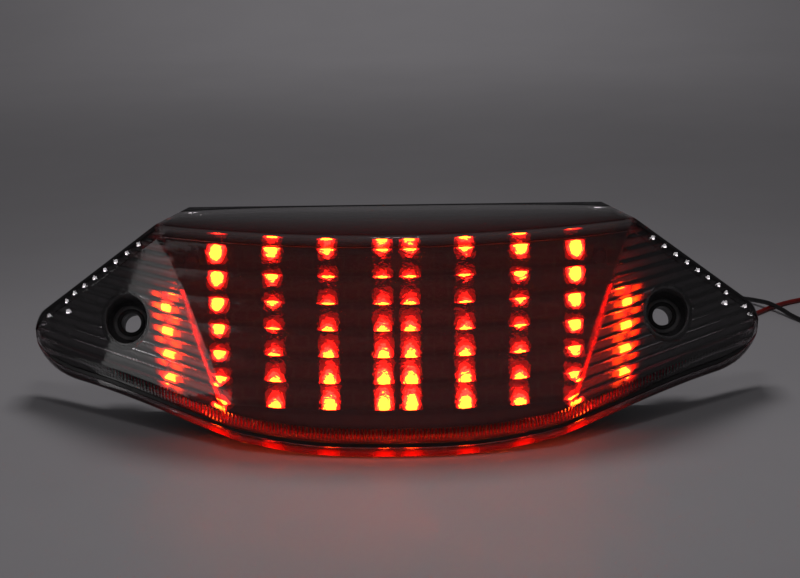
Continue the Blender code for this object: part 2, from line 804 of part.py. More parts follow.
def make_grommet(parts):
    look = material("grommet_rubber", (0.02, 0.02, 0.02), 0.7)
    wall = HOUSING_WALL
    profile = (
        (GROMMET_NOSE_RADIUS, GROMMET_NOSE_LENGTH),
        (GROMMET_FLANGE_RADIUS * 0.82, GAP + 0.0018),
        (GROMMET_FLANGE_RADIUS, GAP + 0.0012),
        (GROMMET_FLANGE_RADIUS, GAP),
        (GROMMET_GROOVE_RADIUS, GAP),
        (GROMMET_GROOVE_RADIUS, -wall - GAP),
        (GROMMET_FLANGE_RADIUS, -wall - GAP),
        (GROMMET_FLANGE_RADIUS, -wall - GAP - 0.0010),
        (GROMMET_BORE, -wall - GAP - 0.0010),
        (GROMMET_BORE, GROMMET_NOSE_LENGTH),
    )
    start = (GROMMET_X, REAR_Y, GROMMET_Z)
    turned("lead_grommet", profile, start, (0, 1, 0), parts, look, steps=20)


def make_bushes(parts):
    look = material("bush_rubber", (0.02, 0.02, 0.02), 0.6)
    profile = (
        (BUSH_RADIUS, BUSH_LENGTH),
        (BUSH_RADIUS, -GAP),
        (BUSH_FLANGE_RADIUS, -GAP),
        (BUSH_FLANGE_RADIUS, -GAP - BUSH_FLANGE * 0.6),
        (BUSH_FLANGE_RADIUS - 0.0006, -GAP - BUSH_FLANGE),
        (BUSH_BORE_RADIUS, -GAP - BUSH_FLANGE),
        (BUSH_BORE_RADIUS, BUSH_LENGTH),
    )
    for side, word in ((-1, "left"), (1, "right")):
        direction = post_point(side, 1.0) - post_point(side, 0.0)
        place = post_point(side, 0.0)
        turned(f"mount_bush_{word}", profile, place, direction, parts, look, steps=28)


def make_leads(parts):
    black = material("lead_black", (0.015, 0.015, 0.015), 0.4)
    red = material("lead_red", (0.35, 0.01, 0.01), 0.4)
    metal = material("plug_brass", (0.75, 0.6, 0.3), 0.3, 1.0)
    clear = material("plug_sleeve", (0.5, 0.5, 0.48), 0.4)
    leads = (
        ("black", black, BLACK_ROUTE, BLACK_COIL, BLACK_PLUG),
        ("red", red, RED_ROUTE, RED_COIL, RED_PLUG),
    )
    for word, look, route, coil, plug in leads:
        tube(f"lead_{word}", even_points(route, TUBE_STEP), LEAD_RADIUS, parts, look)
        ring = (
            (COIL_OUTER_RADIUS, COIL_HEIGHT * 0.75),
            (COIL_OUTER_RADIUS, COIL_HEIGHT * 0.25),
            (COIL_RADIUS + 0.0014, 0.00005),
            (COIL_RADIUS - 0.0014, 0.00005),
            (COIL_INNER_RADIUS, COIL_HEIGHT * 0.25),
            (COIL_INNER_RADIUS, COIL_HEIGHT * 0.75),
            (COIL_RADIUS - 0.0014, COIL_HEIGHT),
            (COIL_RADIUS + 0.0014, COIL_HEIGHT),
        )
        turned(f"coil_{word}", ring, (*coil, 0), (0, 0, 1), parts, look, steps=28)
        (x, y), (run_x, run_y) = plug
        start = (x, y, PLUG_SLEEVE_RADIUS + 0.00005)
        direction = (run_x, run_y, 0)
        sleeve = (
            (PLUG_SLEEVE_RADIUS, PLUG_SLEEVE_LENGTH),
            (PLUG_SLEEVE_RADIUS, 0.0010),
            (PLUG_CORE_RADIUS + GAP, 0),
            (PLUG_CORE_RADIUS + GAP, PLUG_SLEEVE_LENGTH),
        )
        turned(f"plug_sleeve_{word}", sleeve, start, direction, parts, clear, steps=14)
        tip = PLUG_SLEEVE_LENGTH + PLUG_PIN_LENGTH
        pin = (
            (0, tip),
            (PLUG_PIN_RADIUS * 0.6, tip),
            (PLUG_PIN_RADIUS, tip - 0.0012),
            (PLUG_PIN_RADIUS, tip - 0.0030),
            (PLUG_PIN_RADIUS * 0.72, tip - 0.0038),
            (PLUG_PIN_RADIUS, tip - 0.0046),
            (PLUG_PIN_RADIUS, PLUG_SLEEVE_LENGTH + GAP),
            (PLUG_CORE_RADIUS, PLUG_SLEEVE_LENGTH + GAP),
            (PLUG_CORE_RADIUS, 0.0020),
            (0, 0.0020),
        )
        turned(f"bullet_terminal_{word}", pin, start, direction, parts, metal, steps=14)


def shade_round_pieces(parts):
    for obj in parts.objects:
        if obj.type == "MESH":
            smooth(obj.data)


def move_to_origin(*collections):
    """Moves everything so that the origin lies under the middle of the lamp."""
    origin = add_object("lamp_origin", None, collections[0])
    origin.location = (0, -LAMP_MIDDLE_Y, 0)
    for collection in collections:
        for obj in collection.objects:
            if obj is not origin:
                obj.parent = origin


def main():
    clear_scene()
    parts = new_collection("tail_light")
    cutters = new_collection("cutters")
    make_lens(parts, cutters)
    make_housing(parts, cutters)
    make_seals(parts, cutters)
    make_board(parts, cutters)
    make_leds(parts, cutters)
    make_screws(parts)
    make_components(parts, cutters)
    make_inner_wires(parts)
    make_grommet(parts)
    make_bushes(parts)
    make_leads(parts)
    shade_round_pieces(parts)
    move_to_origin(parts, cutters)


main()
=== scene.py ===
import math

import bmesh
import bpy
import numpy as np
from mathutils import Matrix, Vector


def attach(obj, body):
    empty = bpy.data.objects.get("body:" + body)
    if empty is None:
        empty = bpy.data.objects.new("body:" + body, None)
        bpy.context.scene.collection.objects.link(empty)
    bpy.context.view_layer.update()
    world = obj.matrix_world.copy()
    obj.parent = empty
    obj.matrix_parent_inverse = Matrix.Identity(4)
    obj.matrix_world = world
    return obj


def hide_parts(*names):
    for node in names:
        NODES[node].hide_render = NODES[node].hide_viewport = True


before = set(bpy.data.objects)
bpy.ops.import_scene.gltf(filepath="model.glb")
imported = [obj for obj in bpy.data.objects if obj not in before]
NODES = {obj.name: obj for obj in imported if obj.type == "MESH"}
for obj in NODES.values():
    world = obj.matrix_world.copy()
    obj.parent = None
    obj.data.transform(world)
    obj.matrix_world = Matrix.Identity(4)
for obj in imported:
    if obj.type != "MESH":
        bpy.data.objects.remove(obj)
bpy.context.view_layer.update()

# The front of the lens is this far ahead of the frame's middle, and the depths below start at it
MIDDLE_Y = 0.0411
GAP = 0.0003  # between pieces that touch

# The lens, as in the solids
TOP_Z = 0.0838
FRONT_RADIUS = 0.186
EAR_START = (0.0877, 0.0217, 0.0829)
EAR_SWEEP = 0.72
EAR_LEAN = -0.103
CREASE_LOW_X = 0.0588
CREASE_HIGH_X = 0.0855
SHOULDER = (0.0872, 0.0215, TOP_Z)
SHOULDER_FALL = 0.674
SHOULDER_BACK_FALL = 0.222
SHOULDER_SECANT = 1.31
TIP_RADIUS = 0.016
TIP_CENTRE_X = 0.1258
TIP_CENTRE_Z = 0.0298
TIP_JOIN = 0.647
TIP_ANGLES = (12, 24, 34, 43, 51, 58, 64, 69, 74, 79)
KEEL_RISE = 0.0138
KEEL_FLAT_X = 0.019
KEEL_SPAN = 0.119
# Rows of points up the lens: how far they are from its lower edge, or for the band from its upper edge,
# and how far back from its face
LIP_ROWS = (
    (0, 0.0046), (0.0002, 0.0036), (0.0006, 0.0024),
    (0.0016, 0.0013), (0.0029, 0.0008), (0.0042, 0.0007),
)
GROOVE_ROWS = ((0.0043, 0.0019), (0.0064, 0.0019))
STRIP_ROWS = ((0.0065, 0.0007), (0.0107, 0.0005))
BAND_ROWS = (
    (0.0046, 0.0005), (0.0042, 0), (0.0018, 0.0001), (0.0011, 0.0004),
    (0.0006, 0.0008), (0.0002, 0.0015), (0, 0.0022),
)
WINDOW_BACK = 0.0005
CUT_TOLERANCE = 2e-6
FULL_ROW_HEIGHT = 0.030  # where the lens is lower than this, its rows shrink in proportion
LENS_WALL = 0.0020
LENS_FRONT_WALL = 0.0027
RIM_DEPTH = 0.012
PANEL_REACH = 0.036
PANEL_HALF = 0.092
REAR_Y = 0.060
OPEN_REAR = 0.006  # how far the lens's inside is cut past its rear edge

# Screw posts and cups
POST_X = 0.1014
POST_Y = 0.050
POST_Z = 0.0388
POST_TILT = math.radians(22)
CUP_RADIUS = 0.0088
CUP_WALL = 0.0016
CUP_FLOOR = 0.0020
CUP_REACH = 0.030
CUP_SETBACK = 0.0007
POST_HOLE_RADIUS = 0.0053
BORE_REACH = 0.04
HOLE_SPAN = (-0.006, 0.010)
ROUND_SIDES = 64

# How finely the lens is made: columns behind half of the window and behind an ear, and rows
LENS_COLUMNS = (40, 34)
LENS_ROWS = 44
INSIDE_COLUMNS = (56, 48)
INSIDE_ROWS = 210
ENVELOPE_COLUMNS = (12, 10)
ENVELOPE_ROWS = 12
ENVELOPE_PAST_REAR = 0.03

# Relief moulded on the inside of the lens
FLUTE_PITCH = 0.0100
FLUTE_PHASE = 0.0083
FLUTE_DEPTH = 0.00042
RIB_PITCH = 0.00454
RIB_DEPTH = 0.0008
RIB_START_X = 0.0877
RIB_FAN = (0.17, 1.6)
RELIEF_BLEND = 0.0012  # width over which the flutes give way to the ribs

# Bright facets at the outer ends of the ribs
RIB_ENDS = range(6, 17)
RIB_END_LEVEL = 0.55
RIB_END_DROP = 0.0029
RIB_END_FACING = (-0.183, -0.776, 0.604)
RIB_END_SIZE = (0.0022, 0.0013, 0.0008)
RIB_END_REACH = 0.060
HALVINGS = 40

# Where the lens is frosted, hazy or dark, and where shade, highlights and glow are painted on it, as depths
# behind its face and heights above its lower edge
FACE_DEPTH = 0.0012
INSIDE_DEPTH = (0.0018, 0.0042)
STRIP_SPAN = (0.0078, 0.0108)
STRIP_END_X = 0.118
STRIP_FADE = 0.016
STRIP_LEAST = 0.12
# A dark line below the toothed strip, and painted shade in a band above it
DARK_LINES = ((0.0056, 0.0078), (0.0108, 0.0128))
DARK_LINE_SHARE = 0.9
# A rim along the top and the tip of each ear, painted dark for the dark housing that it mirrors
RIM_WIDTH = 0.0034
TIP_RIM_WIDTH = 0.0024
RIM_BLEND = 0.0007
TIP_RIM_LOW = 0.012
# Ruby frost along the crease, painted glow where the edge catches the LEDs' light
CREASE_WIDTH = 0.0008
CREASE_DEPTH = 0.0015
CREASE_SPAN = (0.012, 0.060)
CREASE_SHARE = 0.95
# Ruby frost on the lip, painted glow that is strongest under each LED column
LIP_SIZE = 0.0030
LIP_GLOW = (0.14, 1.2)  # between the LED columns, and what a column above adds
LIP_GLOW_WIDTH = 0.0032
# Amber bars of painted light on the ear ribs, either side of the ear's LED column
BAR_SHIFT = 0.0034
BAR_WIDTH = 0.0017
BAR_SPAN = (0.018, 0.060)
BAR_SHARE = 0.95
# A matt layer painted as a sheen on the top panel, and as highlights along the front top edge and round each
# cup rim
LID_DEPTH = 0.0035
LID_EDGE = 0.0004
BAND_EDGE = 0.0030
CUP_RIM_WIDTH = 0.0001
CUP_RIM_DEPTH = 0.0016
LOW_INSIDE = 0.0098  # below this height the inside lets more light out to the table
LOW_INSIDE_TINT = 0.64
STRIP_TINT = 0.96
EAR_HAZE = 0.17
WINDOW_HAZE = 0.026
LID_SHEEN = 0.15
BAND_HIGHLIGHT = 0.18
CUP_RIM_HIGHLIGHT = 0.30
# Painted shade in the grooves between the ribs, and more faintly between the flutes
WINDOW_GROOVE_SHADE = 0.35
EAR_PEEL = 0.25

# Smoked plastic
TOOTH_PITCH = 0.0015
TOOTH_STRETCH = 1.12  # the lower edge is curved, so it is longer than it is wide
PLASTIC_IOR = 1.5
HALO = 0.08  # share of the light that the plastic scatters
SMOKE = (0.60, 0.57, 0.585)
# The painted shade in the grooves and on the dark rim and lines
PAINTED_DARK = (0.004, 0.001, 0.001)
OUTER_TINT = (0.80, 0.78, 0.78)
INNER_TINT = (0.005, 0.002, 0.002)

# Bushes
RUBBER_DARK = (0.006, 0.006, 0.006)
RUBBER_LIGHT = (0.014, 0.014, 0.014)
BUSH_BACK = 0.0032
BUSH_BORE = 0.00365
BUSH_RINGS = 5
BUSH_RING_START = -0.0010
BUSH_RING_RISE = 0.00012
BUSH_RING_WIDTH = 0.0004
BUSH_FLANGE = (
    (0.0050, BUSH_BACK), (0.0050, -GAP), (0.0069, -GAP), (0.0069, -0.0010), (0.0067, -0.0013),
    (0.0064, -0.0015), (0.0055, -0.0015), (0.0053, -0.0013), (0.0051, -0.0013), (0.0049, -0.0015),
    (0.0041, -0.0015), (0.0038, -0.0013),
)
BUSH_WALL_RADIUS = 0.0039  # the bore's wall is inside this radius, and the rim painted lighter grey, as if lit, outside the next one
BUSH_LIT_RIM_RADIUS = 0.0053
BUSH_SIDES = 96

# LEDs
BOARD_Y = 0.036
LED_COLUMNS = (0.00508, 0.0254, 0.04572, 0.06604)
LED_EAR_COLUMN = 0.0845
LED_FIRST_Z = 0.0125
LED_EAR_FIRST_Z = 0.0225
LED_PITCH = 0.0097
LED_ROWS = 7
LED_EAR_ROWS = 4
LED_SIDE = 0.0076
LED_DEPTH = 0.0030
LED_DOME_RADIUS = 0.0036
LED_DOME_HEIGHT = 0.0030
LED_CORNER = 0.0009
LED_EDGE = 0.0003
LED_FRONT_SHRINK = 0.93
LED_DOME_SIDES = 24
LED_DOME_SINK = 0.0002
LED_LEG_X = 0.0021
LED_LEG = (0.0012, 0.0006)
LED_LEG_SETBACK = 0.0004
PACKAGE, DOME_LOW, DOME_CENTRE, LEG, DOME_SHOULDER = range(5)
DOME_ANGLES = (0, 15, 35, 52, 66, 78)
DOME_LOOKS = (DOME_LOW, DOME_LOW, DOME_SHOULDER, DOME_CENTRE, DOME_CENTRE)

# Leads
LEAD_RADIUS = 0.00105
LEAD_START_Y = REAR_Y - 0.0010
TABLE = LEAD_RADIUS + 0.00005
BLACK_COIL = (0.200, 0.150)
RED_COIL = (0.210, 0.203)
BLACK_START, RED_START = 180, 118  # degrees round each coil where its lead arrives
BLACK_TURNS, RED_TURNS = 3.5, -(3 + RED_START / 360)
BLACK_TIE, RED_TIE = 300, 200  # degrees round each coil where its tie sits
COIL_RINGS = (0.0127, 0.0104)
COIL_LAYERS = (0.0012, 0.0033)
COIL_STEPS = 16
# Turns done, share of the way to the inner ring, and share of the way to the high layer
COIL_KEYS = (
    (0.0, 0, 0), (1.0, 0, 0), (1.35, 1, 0), (1.9, 1, 0), (2.25, 1, 1), (2.75, 1, 1), (3.1, 0, 1), (9.0, 0, 1),
)
TIE_SECTION = (
    (-0.0027, -0.0019), (0.0, -0.00235), (0.0027, -0.0019), (0.0031, 0.0),
    (0.0027, 0.0024), (0.0, 0.0029), (-0.0027, 0.0024), (-0.0031, 0.0),
)
TIE_RINGS = ((-0.0016, 0.94), (-0.0014, 1.0), (0.0014, 1.0), (0.0016, 0.94))
TIE_HEIGHT = 0.0024
BLACK_ROUTE = (
    (0.0388, LEAD_START_Y, 0.0260),
    (0.0388, 0.068, 0.0260),
    (0.0390, 0.076, 0.0252),
    (0.0402, 0.085, 0.0200),
    (0.0440, 0.096, 0.0105),
    (0.0500, 0.108, 0.0035),
    (0.0590, 0.121, TABLE),
    (0.0720, 0.140, TABLE),
    (0.0870, 0.161, TABLE),
    (0.1040, 0.183, TABLE),
    (0.1220, 0.203, TABLE),
    (0.1390, 0.215, TABLE),
    (0.1530, 0.215, TABLE),
    (0.1625, 0.2075, 0.0018),
    (0.1675, 0.1995, 0.0029),
    (0.1713, 0.1928, 0.0034),
    (0.1757, 0.1845, 0.0026),
    (0.1785, 0.1790, 0.0016),
    (0.1820, 0.1720, TABLE),
    (0.1853, 0.1650, TABLE),
    (0.1870, 0.1590, TABLE),
)
RED_ROUTE = (
    (0.0412, LEAD_START_Y, 0.0260),
    (0.0412, 0.068, 0.0260),
    (0.0420, 0.076, 0.0248),
    (0.0450, 0.085, 0.0190),
    (0.0510, 0.095, 0.0098),
    (0.0600, 0.106, 0.0030),
    (0.0730, 0.118, TABLE),
    (0.0900, 0.131, TABLE),
    (0.1100, 0.1445, TABLE),
    (0.1300, 0.157, TABLE),
    (0.1470, 0.1685, TABLE),
    (0.1570, 0.1775, TABLE),
    (0.1640, 0.1850, TABLE),
    (0.1700, 0.1920, TABLE),
    (0.1750, 0.1970, TABLE),
    (0.1815, 0.2024, TABLE),
    (0.1880, 0.2066, TABLE),
    (0.1960, 0.2110, TABLE),
)
BLACK_PLUG = (0.2130, 0.164)
RED_PLUG = (0.2240, 0.187)
PLUG_HEIGHT = 0.00235

# Stage, lights and camera
STAGE_HALF_WIDTH = 2.2
STAGE_NEAR_Y = -1.6
SWEEP_START_Y = 1.0
SWEEP_RADIUS = 0.6
SWEEP_STEPS = 12
STAGE_TOP = 2.6
STUDIO = (1.0, 0.955, 0.985)
ROOM = (0.072, 0.069, 0.073)
CAMERA_PLACE = (0.00137, -0.64924 - MIDDLE_Y, 0.23828)
CAMERA_DOWN = math.radians(15)
CAMERA_ROLL = -0.0132
CAMERA_LENS = 85.5


# Helpers


def add_object(name, data, look=None):
    obj = bpy.data.objects.new(name, data)
    bpy.context.scene.collection.objects.link(obj)
    if look is not None:
        data.materials.clear()
        data.materials.append(look)
    return obj


def mesh_from(name, bm):
    bmesh.ops.recalc_face_normals(bm, faces=bm.faces)
    mesh = bpy.data.meshes.new(name)
    bm.to_mesh(mesh)
    bm.free()
    return mesh


def smooth(mesh, angle):
    mesh.shade_smooth()
    mesh.set_sharp_from_angle(angle=math.radians(angle))


def piece(obj, slot, *nodes):
    """Puts a finished piece on the frame, in place of the CAD nodes named."""
    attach(obj, "root")
    if nodes:
        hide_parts(*nodes)
    return obj


def join_rings(bm, near, far, look=0):
    """A band of faces between two closed rings with as many points."""
    count = len(near)
    for i in range(count):
        face = bm.faces.new((near[i], near[(i + 1) % count], far[(i + 1) % count], far[i]))
        face.material_index = look


def add_boolean(obj, other, operation):
    modifier = obj.modifiers.new(operation.lower(), "BOOLEAN")
    modifier.operation = operation
    modifier.object = other
    modifier.solver = "MANIFOLD"


def baked(obj, helpers):
    """The evaluated mesh of an object. The object and its helpers are removed."""
    graph = bpy.context.evaluated_depsgraph_get()
    mesh = bpy.data.meshes.new_from_object(obj.evaluated_get(graph))
    for done in (obj, *helpers):
        bpy.data.objects.remove(done, do_unlink=True)
    return mesh


# Materials


def blank(name):
    made = bpy.data.materials.new(name)
    made.use_nodes = True
    return made, made.node_tree, made.node_tree.nodes["Principled BSDF"]


def node(tree, kind, values=None, **settings):
    made = tree.nodes.new("ShaderNode" + kind)
    for name, value in settings.items():
        setattr(made, name, value)
    for name, value in (values or {}).items():
        made.inputs[name].default_value = value
    return made


def position(tree, scale=(1, 1, 1)):
    coordinates = node(tree, "TexCoord")
    mapping = node(tree, "Mapping", {"Scale": scale})
    tree.links.new(coordinates.outputs["Object"], mapping.inputs["Vector"])
    return mapping.outputs["Vector"]


def noise(tree, vector, scale, detail=4.0):
    made = node(tree, "TexNoise", {"Scale": scale, "Detail": detail, "Roughness": 0.6})
    tree.links.new(vector, made.inputs["Vector"])
    return made.outputs["Fac"]


def ramp(tree, fac, low, high):
    made = node(tree, "ValToRGB")
    made.color_ramp.elements[0].position = 0.35
    made.color_ramp.elements[1].position = 0.65
    made.color_ramp.elements[0].color = (*low, 1)
    made.color_ramp.elements[1].color = (*high, 1)
    tree.links.new(fac, made.inputs["Fac"])
    return made.outputs["Color"]


def bump(tree, height, strength, distance, normal=None):
    made = node(tree, "Bump", {"Strength": strength, "Distance": distance})
    tree.links.new(height, made.inputs["Height"])
    if normal is not None:
        tree.links.new(normal, made.inputs["Normal"])
    return made.outputs["Normal"]


def spread(tree, fac, low, high):
    made = node(tree, "MapRange", {"From Min": 0.3, "From Max": 0.7, "To Min": low, "To Max": high})
    tree.links.new(fac, made.inputs["Value"])
    return made.outputs["Result"]


def surface(name, dark, light, roughness, grain, depth, metallic=0.0):
    """A finish whose colour, roughness and relief vary. grain is the number of grains in a metre."""
    made, tree, shader = blank(name)
    vector = position(tree)
    tree.links.new(ramp(tree, noise(tree, vector, grain * 0.08), dark, light), shader.inputs["Base Color"])
    tree.links.new(spread(tree, noise(tree, vector, grain * 0.21), *roughness), shader.inputs["Roughness"])
    tree.links.new(bump(tree, noise(tree, vector, grain), 0.5, depth), shader.inputs["Normal"])
    shader.inputs["Metallic"].default_value = metallic
    return made


def black_vinyl(name):
    return surface(name, (0.008, 0.008, 0.008), (0.018, 0.018, 0.018), (0.3, 0.5), 3000, 0.00002)


def red_vinyl(name):
    return surface(name, (0.20, 0.008, 0.006), (0.30, 0.014, 0.010), (0.3, 0.5), 3000, 0.00002)


def glowing(name, colour, strength):
    made, tree, shader = blank(name)
    vector = position(tree)
    tint = ramp(tree, noise(tree, vector, 900), (0.25, 0.004, 0.002), (0.5, 0.012, 0.006))
    tree.links.new(tint, shader.inputs["Base Color"])
    shader.inputs["Roughness"].default_value = 0.2
    shader.inputs["Emission Color"].default_value = (*colour, 1)
    shader.inputs["Emission Strength"].default_value = strength
    return made


def arithmetic(tree, operation, first, second=None):
    """A Math node. Each input is a socket or a number."""
    made = node(tree, "Math", operation=operation)
    for number, value in enumerate((first, second)):
        if value is None:
            continue
        if isinstance(value, (int, float)):
            made.inputs[number].default_value = value
        else:
            tree.links.new(value, made.inputs[number])
    return made.outputs[0]


def stored(tree, name):
    return node(tree, "Attribute", attribute_name=name).outputs["Fac"]


def mixed_shaders(tree, fac, first, second):
    made = node(tree, "MixShader")
    if isinstance(fac, float):
        made.inputs["Fac"].default_value = fac
    else:
        tree.links.new(fac, made.inputs["Fac"])
    tree.links.new(first, made.inputs[1])
    tree.links.new(second, made.inputs[2])
    return made.outputs[0]


def times(tree, first, second):
    return arithmetic(tree, "MULTIPLY", first, second)


def larger(tree, first, second):
    return arithmetic(tree, "MAXIMUM", first, second)


def eased(tree, value, start, stop):
    """0 at start and 1 at stop, smooth at both ends."""
    made = node(tree, "MapRange", {"From Min": start, "From Max": stop}, interpolation_type="SMOOTHSTEP")
    tree.links.new(value, made.inputs["Value"])
    return made.outputs["Result"]


def mixed_colours(tree, fac, first, second):
    made = node(tree, "Mix", data_type="RGBA")
    made.inputs["A"].default_value = (*first, 1)
    made.inputs["B"].default_value = (*second, 1)
    tree.links.new(fac, made.inputs["Factor"])
    return made.outputs["Result"]


def frost_and_painted_light(tree, vector, glass, shaded_groove, ridge, tooth):
    """The glass with its haze over it, a matt layer for the painted sheen and highlights, ruby frost on the
    strip and as painted glow on the crease and lip, and amber bars of painted light in the ears.
    """
    glow = node(tree, "BsdfTranslucent", {"Color": (0.85, 0.20, 0.24, 1)})
    amber = node(tree, "BsdfTranslucent", {"Color": (0.95, 0.48, 0.10, 1)})
    ruby = node(tree, "BsdfTranslucent", {"Color": (0.98, 0.06, 0.12, 1)})
    matt = node(tree, "BsdfDiffuse", {"Color": (0.40, 0.39, 0.39, 1)})
    milk = mixed_shaders(tree, 0.72, glow.outputs[0], matt.outputs[0])
    mottle = spread(tree, noise(tree, position(tree, (30, 30, 260)), 4.0, 3.0), 0.55, 1.0)
    clear = arithmetic(tree, "SUBTRACT", 1.0, shaded_groove)
    haze = times(tree, times(tree, stored(tree, "haze"), clear), mottle)
    beads = arithmetic(tree, "ADD", times(tree, tooth, 0.42), 0.58)
    strip = times(tree, times(tree, stored(tree, "strip"), beads), 0.95)
    # Glow painted on the crease and the lip, with the frosted strip
    crease = times(tree, stored(tree, "crease"), spread(tree, noise(tree, vector, 330, 2.0), 0.2, 1.0))
    frost_and_painted_glow = larger(tree, larger(tree, strip, crease), stored(tree, "lip"))
    # Bars of painted light in the ears
    bars = times(tree, stored(tree, "bars"), eased(tree, ridge, 0.62, 0.30))
    # The matt layer carries the painted sheen and highlights
    layers = (
        (haze, milk), (stored(tree, "lid"), matt.outputs[0]),
        (frost_and_painted_glow, ruby.outputs[0]), (bars, amber.outputs[0]),
    )
    for share, layer in layers:
        glass = mixed_shaders(tree, share, glass, layer)
    return glass


def lets_light_out(tree, seen):
    """The finish as it is seen, which shadow and diffuse rays pass straight through, tinted."""
    tint = mixed_colours(tree, stored(tree, "inner"), OUTER_TINT, INNER_TINT)
    through = node(tree, "BsdfTransparent")
    tree.links.new(tint, through.inputs["Color"])
    path = node(tree, "LightPath")
    either = larger(tree, path.outputs["Is Shadow Ray"], path.outputs["Is Diffuse Ray"])
    return mixed_shaders(tree, either, seen, through.outputs[0])


def lens_look():
    """Smoked clear plastic with painted shade in its grooves and on its dark rim and lines. The marks stored
    on the mesh say where it is frosted and painted.
    """
    made, tree, shader = blank("smoked_clear_plastic")
    links = tree.links
    vector = position(tree)
    shader.inputs["Transmission Weight"].default_value = 1.0
    shader.inputs["IOR"].default_value = PLASTIC_IOR
    shader.inputs["Specular IOR Level"].default_value = 0.2
    links.new(spread(tree, noise(tree, vector, 60), 0.015, 0.04), shader.inputs["Roughness"])
    # Painted shade in the grooves between ribs and flutes, and on the dark rim and lines
    wave = times(tree, arithmetic(tree, "FRACT", stored(tree, "rib")), 2.0)
    ridge = arithmetic(tree, "ABSOLUTE", arithmetic(tree, "SUBTRACT", wave, 1.0))
    shaded_groove = times(tree, eased(tree, ridge, 0.42, 0.76), stored(tree, "painted_groove_shade"))
    smoke_and_shade = mixed_colours(tree, larger(tree, shaded_groove, stored(tree, "rim")), SMOKE, PAINTED_DARK)
    links.new(smoke_and_shade, shader.inputs["Base Color"])
    tooth = arithmetic(tree, "SINE", times(tree, stored(tree, "along"), 2 * math.pi / TOOTH_PITCH))
    orange_peel = times(tree, noise(tree, vector, 420, 2.0), stored(tree, "peel"))
    ripple = bump(tree, orange_peel, 0.30, 0.0004)
    teeth = bump(tree, times(tree, tooth, stored(tree, "strip")), 1.0, 0.0004, ripple)
    links.new(teeth, shader.inputs["Normal"])
    halo = node(tree, "BsdfRefraction", {"Roughness": 0.12, "IOR": PLASTIC_IOR})
    links.new(smoke_and_shade, halo.inputs["Color"])
    glass = mixed_shaders(tree, HALO, shader.outputs[0], halo.outputs[0])
    seen = frost_and_painted_light(tree, vector, glass, shaded_groove, ridge, tooth)
    links.new(lets_light_out(tree, seen), tree.nodes["Material Output"].inputs["Surface"])
    return made


def board_look():
    made, tree, shader = blank("solder_mask")
    links = tree.links
    vector = position(tree)
    tracks = node(tree, "TexBrick", {"Scale": 90.0, "Mortar Size": 0.035, "Mortar Smooth": 0.2, "Bias": 0.0})
    tracks.inputs["Color1"].default_value = (0.006, 0.030, 0.014, 1)
    tracks.inputs["Color2"].default_value = (0.008, 0.040, 0.018, 1)
    tracks.inputs["Mortar"].default_value = (0.020, 0.090, 0.040, 1)
    upright = node(tree, "Mapping")
    upright.inputs["Rotation"].default_value = (math.radians(90), 0, 0)
    links.new(vector, upright.inputs["Vector"])
    links.new(upright.outputs["Vector"], tracks.inputs["Vector"])
    links.new(tracks.outputs["Color"], shader.inputs["Base Color"])
    links.new(spread(tree, noise(tree, vector, 300), 0.3, 0.5), shader.inputs["Roughness"])
    links.new(bump(tree, tracks.outputs["Fac"], 0.4, 0.00005), shader.inputs["Normal"])
    return made


# Surfaces of the lamp


def ear_y(x, z):
    return EAR_START[1] + EAR_SWEEP * (abs(x) - EAR_START[0]) + EAR_LEAN * (z - EAR_START[2])


def face_y(x, z):
    return np.maximum(FRONT_RADIUS - np.sqrt(FRONT_RADIUS**2 - x**2), ear_y(x, z))


def rim_y(x, z, low, high):
    reach = np.maximum(0.0, 1 - (abs(x) / PANEL_HALF) ** 2.2) ** 0.8
    return face_y(x, z) + RIM_DEPTH + PANEL_REACH * reach * (z - low) / (high - low)


def keel_z(x):
    turn = np.clip((abs(x) - KEEL_FLAT_X) / KEEL_SPAN, 0.0, 1.0)
    return KEEL_RISE * np.sin(turn * math.pi / 2) ** 2


def shoulder_z(x):
    flat = SHOULDER[2] - SHOULDER_FALL * (abs(x) - SHOULDER[0])
    at_face = flat - SHOULDER_BACK_FALL * (ear_y(x, 0) - SHOULDER[1])
    return at_face / (1 + SHOULDER_BACK_FALL * EAR_LEAN)


def outline(x, inset):
    x = abs(x)
    radius = TIP_RADIUS - inset
    past = x - TIP_CENTRE_X
    half = math.sqrt(max(radius**2 - past**2, 0.0)) if past > 0 else 0.0
    low = TIP_CENTRE_Z - half if past > 0 else keel_z(x) + inset
    high = min(TOP_Z - inset, shoulder_z(x) - SHOULDER_SECANT * inset)
    if past > TIP_JOIN * radius:
        high = TIP_CENTRE_Z + half
    return low, high


def columns(inset, middle, ear):
    half = [(CREASE_LOW_X * i / middle, CREASE_HIGH_X * i / middle) for i in range(middle + 1)]
    for i in range(1, ear + 1):
        low = CREASE_LOW_X + (TIP_CENTRE_X - CREASE_LOW_X) * i / ear
        high = CREASE_HIGH_X + (TIP_CENTRE_X - CREASE_HIGH_X) * i / ear
        half.append((low, high))
    for angle in TIP_ANGLES:
        x = TIP_CENTRE_X + (TIP_RADIUS - inset) * math.sin(math.radians(angle))
        half.append((x, x))
    return [(-low, -high) for low, high in reversed(half[1:])] + half


def lens_rows(low, high, count):
    scale = min(1.0, (high - low) / FULL_ROW_HEIGHT)
    rows = [(low + up * scale, back) for up, back in LIP_ROWS + GROOVE_ROWS + STRIP_ROWS]
    bottom = rows[-1][0]
    top = high - BAND_ROWS[0][0] * scale
    for i in range(1, count + 1):
        rows.append((bottom + (top - bottom) * i / (count + 1), WINDOW_BACK))
    return rows + [(high - down * scale, back) for down, back in BAND_ROWS]


def even_rows(low, high, count):
    return [(low + (high - low) * i / count, 0.0) for i in range(count + 1)]


